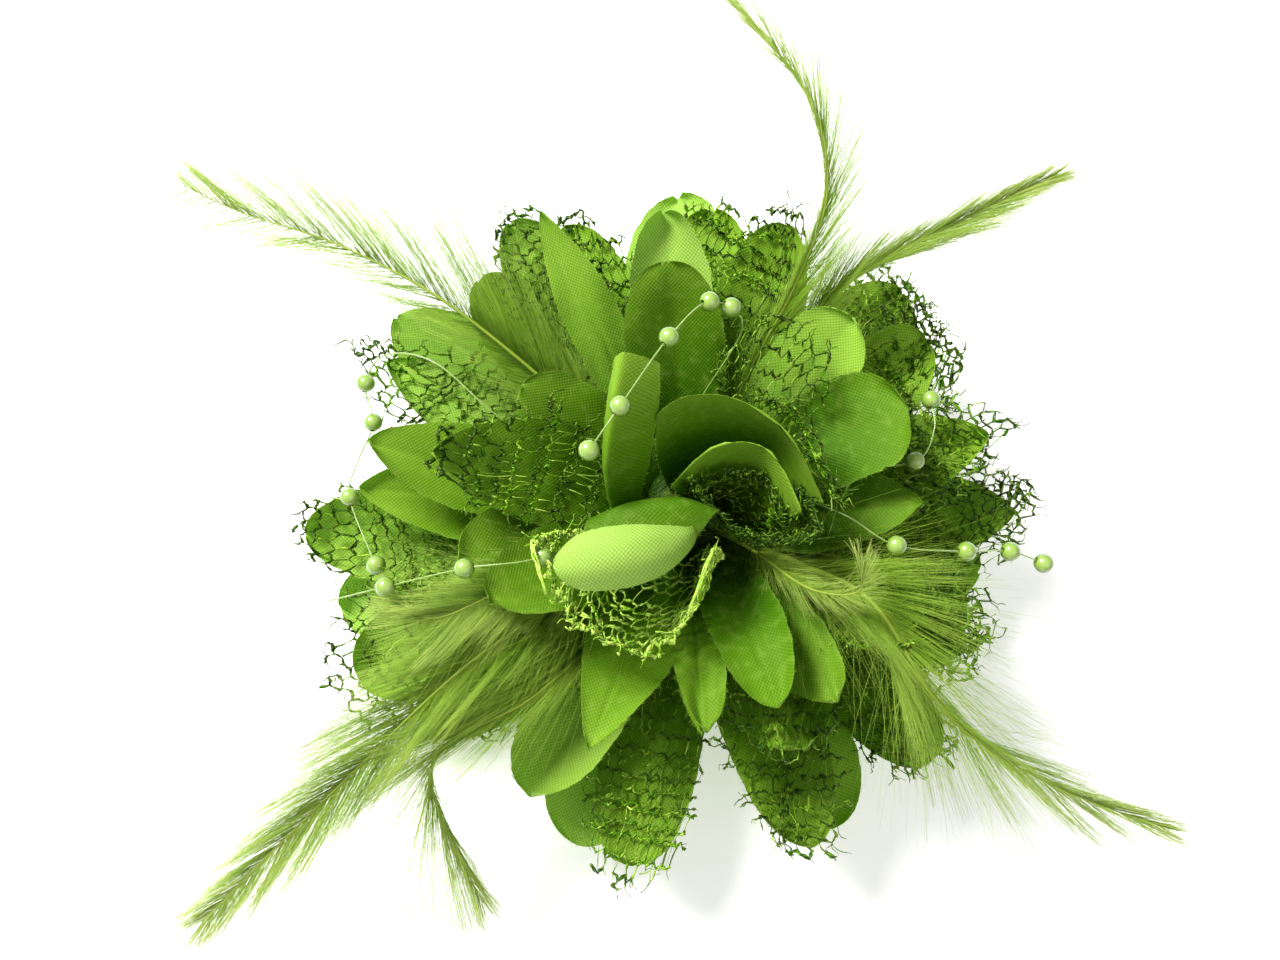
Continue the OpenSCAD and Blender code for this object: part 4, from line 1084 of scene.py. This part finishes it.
LINING = loft_surf(808, [  # net that lines the lip
    [[-1, -1.6, 17], [2, 0.2, 17], [5, 0.2, 17], [7, -2.6, 17]],
    [[-3, -2.8, 27], [3, 0.2, 28], [10, -0.8, 28], [14, -6.8, 27]],
    [[-4, -4.2, 32], [3, 0.2, 35], [12, -0.4, 36], [18.5, -9, 34.5]],
], tip_round=0.06, ruffle=0.4, wave=0.25)
SHAWL = loft_surf(809, [  # net behind the wide petal, it shows along the right edge
    [[2, 5, 17], [4, 4, 17], [7, 2, 17]],
    [[6, 9, 27], [12, 6.5, 27], [17, -1, 26]],
    [[8, 10, 36], [16, 6.5, 36], [22, -4, 34.5]],
    [[9, 11, 44.5], [17, 6.5, 43.5], [24.5, -6.5, 40]],
], tip_round=0.1, ruffle=0.5, wave=0.4)
FRONT_CUP = loft_surf(806, [  # net cup under the folded petal, its ragged rim to the front
    [[-6, -6, 17], [-4, -8, 17], [0, -9, 17], [3, -8, 17]],
    [[-15, -9, 27], [-10, -17, 24], [-1, -18, 24], [4, -12, 27]],
    [[-23, -11, 36], [-17, -25, 32], [-4, -27, 32], [3.5, -15, 37]],
    [[-28, -14, 41.5], [-20.5, -29, 40], [-6, -32, 40.5], [2, -15.5, 44]],
], tip_round=0.08, ruffle=0.6, wave=0.4)
# the tones of the middle petals are partly painted light and shade too
satin_layer(8, [0.5], looks={0: dict(dark=0.3)},
            extra=[(FOLDED, 1.0), (STANDING, 0.62), (BACK_WALL, 0.4), (INNER_WALL, 0.6),
                   (SMALL, 0.12)])

WIDE = dict(chain=3.0, link=1.15, warp=2.2, ragged=0.16, spill=1.7, bright=0.06)
net_layer(2, cover(2, (0, 1), 4.0) + cover(2, (2, 3), 7.0, 9.0) + cover(2, (4, 5), 4.0)
          + cover(2, (6,), 6.0, 9.0),
          looks={2: WIDE, 3: WIDE, 6: WIDE}, second={0: 0.3, 6: 0.2, 5: 0.3})
net_layer(3, cover(3, (0,), 6.0, 8.0) + cover(3, (1, 3, 5), 3.5) + cover(3, (6,), 5.0, 8.0),
          looks={0: WIDE, 4: WIDE}, second={0: 0.2, 4: 0.3})
net_layer(4, cover(4, (0,), 5.0, 8.0) + cover(4, (1, 2, 4, 5), 2.5)
          + cover(4, (6,), 5.0, 8.0), second={0: 0.1, 5: 0.3})
net_layer(5, cover(5, (0, 1, 6), 2.0, 6.0), second={0: 0.1, 2: 0.3})
net_layer(7, [(Petal(47, 33, 39, 22, 0.4, 0.55, 0.8), 704)] + cover(7, (2,), 1.5, 5.0),
          forms={0: dict(blunt=4.0, ruffle=1.0)},
          looks={0: dict(bright=0.15),
                 1: dict(bright=0.1, size=1.15, chain=3.1, link=0.95, warp=1.2)})
net_layer(8, extra=[
    (FRONT_CUP, dict(bright=1.0, size=1.15, chain=2.5, link=1.0, ragged=0.04, rim=True)),
    (BASKET, dict(bright=0.15, chain=1.6, link=0.7, ragged=0.05)),
    (LINING, dict(bright=0.2, chain=1.7, link=0.72, ragged=0.1, start=0.2, offset=-0.45,
                  spill=0.9)),
    (SHAWL, dict(bright=0.3, chain=2.2, link=0.85, ragged=0.1, start=0.3, offset=0.45,
                 spill=2.0))])

# ---------------------------------------------------------------- feathers


def roots(azimuth, height, pad=PAD):
    """The first two points of a feather or thread, which leaves a pad at this azimuth."""
    z = sheet_mid(pad) - THICKNESS[SHEETS[pad]] / 2 + height
    angle = math.radians(azimuth)
    return [[radius * math.cos(angle), radius * math.sin(angle), z + rise]
            for radius, rise in ((4.8, 0), (8.4, 0.4))]


# path of the quill, then barb length, barb count and angle to its left and right
FEATHERS = {
    "upper_left": dict(
        path=roots(137, 1.1) + [[-22, 18.5, 18], [-46, 36, 27], [-67, 47, 30], [-86, 53.5, 31],
                                [-98, 59.5, 31]],
        left=(21, 330, 27), right=(33, 620, 27), spread=2.6, bare=0.16, droop=-0.02,
        lock_up=0.4, tuft=9.0),
    "top": dict(
        path=roots(66, 1.0) + [[11, 24, 23], [19, 37, 34], [24, 51, 43], [20, 68, 49],
                               [4, 88, 52]],
        left=(13, 420, 9), right=(23, 420, 13), spread=2.0, bare=0.2),
    "upper_right": dict(
        path=roots(50, 1.1) + [[16, 22, 20], [27, 38, 30], [46, 48, 33], [71, 62, 31]],
        left=(18, 560, 13), right=(22, 560, 14), spread=2.5, bare=0.2),
    "lower_left": dict(
        path=roots(228, 1.0) + [[-20, -17, 18], [-39, -32, 27], [-60, -52, 25],
                                [-84, -74, 16]],
        left=(27, 800, 20), right=(29, 850, 20), spread=2.0, bare=0.14, droop=-0.02),
    "left_short": dict(
        path=roots(200, 1.1) + [[-19, -11, 19], [-34, -20, 29], [-45, -25, 31],
                                [-53, -21, 29]],
        left=(21, 480, 30), right=(20, 480, 26), spread=2.5, bare=0.15, quill=0.38),
    "lower_drop": dict(
        path=roots(243, 1.1) + [[-11, -20, 17], [-28, -37, 23], [-45, -49, 24.5],
                                [-37, -71, 13]],
        left=(22, 330, 9), right=(36, 420, 13), spread=4.0, bare=0.2, droop=-0.05,
        quill=0.36),
    "lower_right": dict(
        path=roots(330, 1.1) + [[18, -12, 19], [30, -22, 30], [42, -41, 28], [60, -52, 23],
                                [81, -59, 18]],
        left=(28, 600, 22), right=(27, 560, 26), spread=3.0, bare=0.1, droop=-0.02, quill=0.8,
        lock_up=0.8, crowd=1.6, fold=0.85),
    "centre_curl": dict(
        path=roots(316, 0.8, TOP_PAD) + [[11, -11, 22], [19, -20, 32], [26, -22, 38],
                                         [27, -17, 40]],
        left=(10, 160, 26), right=(10, 160, 26), spread=4.0, bare=0.3, quill=0.4),
}
LOCKS, LOCKS_ALONG = 64, 46


def feather(name, seed, path, left, right, spread, bare, droop=0.0, quill=0.42, lock_up=1.0,
            tuft=0.0, crowd=1.05, fold=0.35):
    """A quill with two vanes of barbs and looser down.

    spread: how the locks differ in angle; bare: share of the quill without vane; quill: its
    radius; lock_up: how far the locks close up; tuft: extra barb length on the left;
    crowd: how much the barbs crowd towards the root; fold: how far they fold in at the tip.
    """
    shape = Shape()
    rng = new_rng(seed)
    last = len(path) - 1
    places = np.linspace(0, last, 90)
    points = spline(path, places)
    arc = run_length(points)
    total = arc[-1]
    arc = arc / total
    radii = quill * (1 - arc) ** (0.9 if quill < 0.6 else 1.8) + 0.05
    shape.tubes(points[None], radii, 8, mat=1, along=arc, tone=0.4)
    step = np.linspace(0, 1, 5)[None]
    for side, (barb, barbs, angle), vane in ((1.0, left, True), (1.0, left, False),
                                             (-1.0, right, True), (-1.0, right, False)):
        if vane:
            count = int(barbs * 1.75)
            root = bare + (1 - bare) * np.sort(rng.uniform(0, 1, count)) ** crowd
        else:
            count = barbs // 3
            root = bare * 0.7 + (0.5 + bare) * rng.uniform(0, 1, count) ** 1.2
        wild = 0.0 if vane else 1.0
        root = np.clip(root, 0, 0.995)
        run = np.clip((root - bare) / (1 - bare), 0, 1)
        place = np.interp(root, arc, places)
        heading = unit(spline(path, np.clip(place + 0.03, 0, last))
                       - spline(path, np.clip(place - 0.03, 0, last)))
        outward = unit(np.cross(np.array([0, 0, 1.0]), heading)) * side
        normal = np.cross(heading, outward * side)
        # barbs hang together in small locks
        lock = np.floor(root * LOCKS_ALONG + 0.5 * rng.normal(0, 1, count)).astype(int) % LOCKS
        lock_angle = rng.normal(0, spread, LOCKS)
        lock_length = rng.uniform(0.8, 1.15, LOCKS)
        lock_lift = rng.normal(0, 0.11, LOCKS)
        lock_close = lock_up * 0.75 * rng.uniform(0, 1, LOCKS) ** 1.3
        lock_light = rng.uniform(0, 1, LOCKS) ** 1.6
        if vane:
            profile = (0.65 + 0.35 * smooth(run, 0, 0.22)) * (1 - 0.5 * run ** 1.6)
            reach = (barb * profile * lock_length[lock]
                     * (1 - 0.35 * rng.uniform(0, 1, count) ** 2.5))
            lean = np.radians(angle * (1.15 - fold * run) + lock_angle[lock]
                              + rng.normal(0, 1.6, count))
            if side > 0:
                lean = lean + np.radians(2.2 * tuft) * smooth(run, 0.6, 0.95)
        else:
            reach = barb * rng.uniform(0.6, 1.35, count) * (1 - 0.35 * run)
            lean = np.radians(angle + rng.normal(8, 9, count))
        longest = (1 - root) * total * 1.05 + rng.uniform(2.0, 5.0, count)
        if side > 0:
            longest = longest + tuft * rng.uniform(0.3, 1, count)
        reach = np.minimum(reach, longest)
        lean = lean[:, None] * (1 - (0.35 - 0.2 * wild) * step)
        lift = ((lock_lift[lock] + droop + rng.normal(0, 0.05, count))[:, None]
                + wild * rng.normal(0.05, 0.16, (count, 1)))
        curl = rng.normal(0, 0.12, (count, 1)) * step * (0.5 + wild)
        ways = unit(heading[:, None] * np.cos(lean)[..., None]
                    + outward[:, None] * np.sin(lean)[..., None]
                    + normal[:, None] * (lift + curl)[..., None])
        steps = np.cumsum(ways[:, :-1] * (reach / 4)[:, None, None], axis=1)
        paths = (spline(path, place)[:, None]
                 + np.concatenate([np.zeros((count, 1, 3)), steps], axis=1))
        if vane:
            close = (((lock + 0.5) / LOCKS_ALONG - root).clip(-0.03, 0.03) * total
                     * lock_close[lock])
            paths = paths + heading[:, None] * (close[:, None] * step ** 1.1)[..., None]
        radii = (0.038 if vane else 0.03) * (1 - 0.6 * step) * rng.uniform(0.6, 1.4, (count, 1))
        along = np.clip(0.1 + 0.65 * root[:, None] + 0.35 * step, 0, 1)
        tone = 0.55 * rng.uniform(0, 1, count) ** 1.5 + 0.6 * lock_light[lock]
        shape.tubes(paths, radii, 3, ref=normal[:, None], along=along,
                    tone=np.clip(tone, 0, 1)[:, None])
    shape.build("feather_vane_" + name, [FEATHER, QUILL], "feather", "feather_" + name)


for i, (name, spec) in enumerate(FEATHERS.items()):
    feather(name, 40 + i, **spec)

# ---------------------------------------------------------------- bead threads

THREADS = {
    "top": roots(97, 0.75, TOP_PAD) + [
        [1, 16, 26], [8, 24, 42], [2, 26, 48], [-5, 18, 51], [-13, 5, 53], [-19, -3, 50]],
    "left": roots(165, 0.8) + [
        [-20, 5, 17], [-36, 14, 25], [-48, 24, 27], [-58, 27, 24], [-62, 22, 22],
        [-60, 14, 22], [-62, 6, 23], [-63, -1, 23], [-57, -14, 24]],
    "lower_left": roots(196, 0.75, TOP_PAD) + [
        [-14, -6, 25], [-26, -16, 38], [-39, -18, 38], [-53, -20, 33], [-63, -22, 31]],
    "right": roots(10, 0.75, TOP_PAD) + [
        [14, 0, 24], [25, -7, 33], [34, -13, 34], [47, -13, 30], [56, -12, 26],
        [64, -14, 23]],
    "right_short": roots(8, 0.8) + [
        [18, 5, 17], [29, 5, 21.5], [40, 4.5, 27.5], [43.5, 10, 29], [43.5, 16, 28.5],
        [45, 20, 27.5]],
}
for name, path in THREADS.items():
    shape = Shape()
    place = np.linspace(0, len(path) - 1, 26 * (len(path) - 1))
    core = spline(path, place)
    # a thin ply winds round the core
    ply = np.stack([np.cos(place * 26), np.sin(place * 26), 0 * place], -1) * 0.09
    shape.tubes(core[None], 0.14, 8)
    shape.tubes((core + ply)[None], 0.08, 6, along=0.6)
    shape.build("bead_thread_" + name, [THREAD], "bead_thread", "thread_" + name)

# ---------------------------------------------------------------- felt


def box_mm(node):
    low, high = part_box(node)
    return np.array(low) / MM, np.array(high) / MM


def felt_pad(name, node, x, y, edge_drop, hairs, hair_ring):
    """A pad over rings of points x, y; edge_drop rounds the two outer rings, and the hairs
    grow from hair_ring outwards."""
    low, high = box_mm(node)
    rng = new_rng(5)
    lumps = Waves(11, 0.9, 7)
    shape = Shape()
    rings, spokes = x.shape
    drop = np.concatenate([np.zeros(rings - 2), edge_drop])[:, None]
    top = np.stack([x, y, high[2] - drop - 0.05 + 0.045 * lumps(x, y)], -1)
    bottom = np.stack([x, y, low[2] + drop + 0.05 + 0.045 * lumps(x + 9, y)], -1)
    index, _, faces = polar_faces(rings, spokes)
    faces += [index[0][None, ::-1], index[0][None] + index.size]
    shape.add(np.concatenate([top.reshape(-1, 3), bottom.reshape(-1, 3)]), faces)
    spoke = rng.integers(0, spokes, hairs)
    ring_at = rng.integers(hair_ring, rings, hairs)
    below = rng.uniform(size=hairs) < 0.65
    root = np.where(below[:, None], bottom[ring_at, spoke], top[ring_at, spoke])
    outward = unit(np.stack([x[ring_at, spoke] - x.mean(), y[ring_at, spoke] - y.mean(),
                             0 * spoke], -1))
    way = unit(rng.normal(0, 1, (hairs, 3))
               + outward * np.where(ring_at >= rings - 3, 2.0, 0.0)[:, None]
               + np.stack([0 * spoke, 0 * spoke, np.where(below, -0.5, 0.5)], -1))
    reach = way * rng.uniform(0.2, 0.7, hairs)[:, None]
    paths = np.stack([root - way * 0.05, root + reach * 0.5 + rng.normal(0, 0.08, (hairs, 3)),
                      root + reach + rng.normal(0, 0.2, (hairs, 3))], 1)
    shape.tubes(paths, [[0.03, 0.025, 0.012]], 3, mat=1)
    shape.build(name, [FELT, FELT_FUZZ], "felt", node)


# round backing disc
low, high = box_mm("backing_felt")
disc_r = (high[0] - low[0]) / 2
radii = np.concatenate([np.linspace(0.4, disc_r - 0.5, 26), [disc_r - 0.2, disc_r]])[:, None]
angle = np.linspace(0, TAU, 145)[:-1]
wobble = 1 + 0.004 * np.sin(7 * angle) + 0.003 * np.sin(23 * angle + 1)
felt_pad("felt_disc", "backing_felt", radii * np.cos(angle) * wobble,
         radii * np.sin(angle) * wobble, edge_drop=[0.1, 0.4], hairs=1600, hair_ring=14)

# grip pad: a rectangle with rounded corners
low, high = box_mm("clip_grip_felt")
centre, half_size = (low + high) / 2, (high - low) / 2
shares = np.concatenate([np.linspace(0.02, 0.95, 16), [0.985, 1.0]])[:, None]
angle = np.linspace(0, TAU, 97)[:-1]
SQUARENESS = 6.0
stretch = (np.abs(np.cos(angle)) ** SQUARENESS
           + np.abs(np.sin(angle)) ** SQUARENESS) ** (-1 / SQUARENESS)
felt_pad("grip_felt", "clip_grip_felt",
         centre[0] + half_size[0] * shares * np.cos(angle) * stretch,
         centre[1] + half_size[1] * shares * np.sin(angle) * stretch,
         edge_drop=[0.08, 0.22], hairs=350, hair_ring=4)

# ---------------------------------------------------------------- stitches

# each stitch is a loop in Y and Z with cut corners, of two twisted plies
STITCH_X = (-7.0, 7.0)
NEAR, FAR, LOW, HIGH, CUT = 11, 14.3, -1.0, 1.67, 0.3
loop = np.array([[NEAR, LOW + CUT], [NEAR, HIGH - CUT], [NEAR + CUT, HIGH], [FAR - CUT, HIGH],
                 [FAR, HIGH - CUT], [FAR, LOW + CUT], [FAR - CUT, LOW], [NEAR + CUT, LOW],
                 [NEAR, LOW + CUT]], float)
arc = run_length(loop)
run = np.linspace(0, arc[-1], 120)
y, z = np.interp(run, arc, loop[:, 0]), np.interp(run, arc, loop[:, 1])
shape = Shape()
for x in STITCH_X:
    for phase in (0, PI):
        turn = run * 3.2 + phase
        path = np.stack([x + 0.06 * np.cos(turn), y + 0.03 * np.sin(turn),
                         z + 0.03 * np.cos(turn)], -1)
        shape.tubes(path[None], 0.1, 6)
shape.build("sewn_stitches", [STITCH], "stitch_thread", "stitches")

# ---------------------------------------------------------------- torsion spring

COIL_X, COIL_Y, COIL_Z = -9.0, -8.0, -3.6
WIRE_R, COIL_R, TURNS = 0.28, 1.45, 4
COIL_PITCH = 2 * WIRE_R + 0.1
start_y = COIL_Y - TURNS * COIL_PITCH / 2
end_y = start_y + (TURNS + 0.5) * COIL_PITCH
turns = np.linspace(0, TURNS + 0.5, 40 * TURNS)
helix = np.stack([COIL_X + COIL_R * np.cos(PI / 2 - TAU * turns),
                  start_y + turns * COIL_PITCH,
                  COIL_Z + COIL_R * np.sin(PI / 2 - TAU * turns)], -1)
leg_places = np.linspace(0, 3, 24)
fixed_leg = spline([[COIL_X - 10, start_y, -1.13], [COIL_X - 7, start_y, -1.25],
                    [COIL_X - 3.5, start_y, -1.62], [COIL_X - 1.2, start_y, -2.02]], leg_places)
coil_low = COIL_Z - COIL_R
moving_leg = spline([[COIL_X - 1.0, end_y, coil_low + 0.02], [COIL_X - 2, end_y, coil_low],
                     [COIL_X - 5, end_y, coil_low - 0.73],
                     [COIL_X - 8, end_y, coil_low - 1.46]], leg_places)
shape = Shape()
shape.tubes(np.concatenate([fixed_leg, helix[1:]])[None], WIRE_R, 12)
shape.build("torsion_spring", [WIRE], "spring_wire", "clip_spring")
# the leg on the moving arm turns with it about the coil and takes a bit of the last turn along
shape = Shape()
coil_end = helix[turns > TURNS + 0.5 - 0.1]
shape.tubes(np.concatenate([coil_end, moving_leg[1:]])[None], WIRE_R * 1.03, 12)
shape.build("torsion_spring_leg", [WIRE], "spring_wire", body="clip_moving_arm")

# ---------------------------------------------------------------- pieces kept from the CAD

CAD_MATERIALS = {"glue_bed": GLUE, "layer_glue": GLUE, "feather_glue": GLUE,
                 "centre_stud": STUD, "stud_cap": STUD}
for node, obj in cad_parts.items():
    if obj.hide_render:
        continue
    material = PEARL if node.startswith("pearls") else CAD_MATERIALS.get(node, NICKEL)
    if not obj.material_slots:
        obj.data.materials.append(material)
    for slot in obj.material_slots:
        slot.material = material

# ---------------------------------------------------------------- stage, light, camera

FLOOR_GAP = 0.0004
bpy.ops.mesh.primitive_plane_add(size=30, location=(0, 0, CAD_BOX[0][2] - FLOOR_GAP))
floor = bpy.context.object
floor.name = "floor"
floor.data.materials.append(make_floor())

scene = bpy.context.scene
world = bpy.data.worlds.new("studio")
scene.world = world
world.use_nodes = True
background = world.node_tree.nodes["Background"]
background.inputs["Color"].default_value = (1.0, 1.0, 1.0, 1)
background.inputs["Strength"].default_value = 0.40

LIGHT_TARGET = np.array((0, 0, 0.02))


def area_light(name, location, size, energy, color):
    light = bpy.data.lights.new(name, "AREA")
    light.size, light.energy, light.color = size, energy, color
    obj = bpy.data.objects.new(name, light)
    scene.collection.objects.link(obj)
    obj.location = location
    x, y, z = LIGHT_TARGET - np.array(location)
    obj.rotation_euler = (math.atan2(math.hypot(x, y), -z), 0, math.atan2(y, x) - PI / 2)


area_light("key", location=(-0.45, 0.35, 0.65), size=0.30, energy=13.0,
           color=(1.0, 0.99, 0.95))
area_light("fill", location=(0.5, -0.5, 0.6), size=0.8, energy=2.0, color=(1.0, 0.99, 0.97))

lens = bpy.data.cameras.new("camera")
lens.lens, lens.sensor_width, lens.sensor_fit = 32.0, 36.0, "HORIZONTAL"
lens.clip_start = 0.005
camera = bpy.data.objects.new("camera", lens)
scene.collection.objects.link(camera)
camera.location = (-0.0098, -0.0624, 0.2222)
camera.rotation_euler = (math.radians(18), 0, 0)
scene.camera = camera
scene.view_settings.view_transform = "Standard"
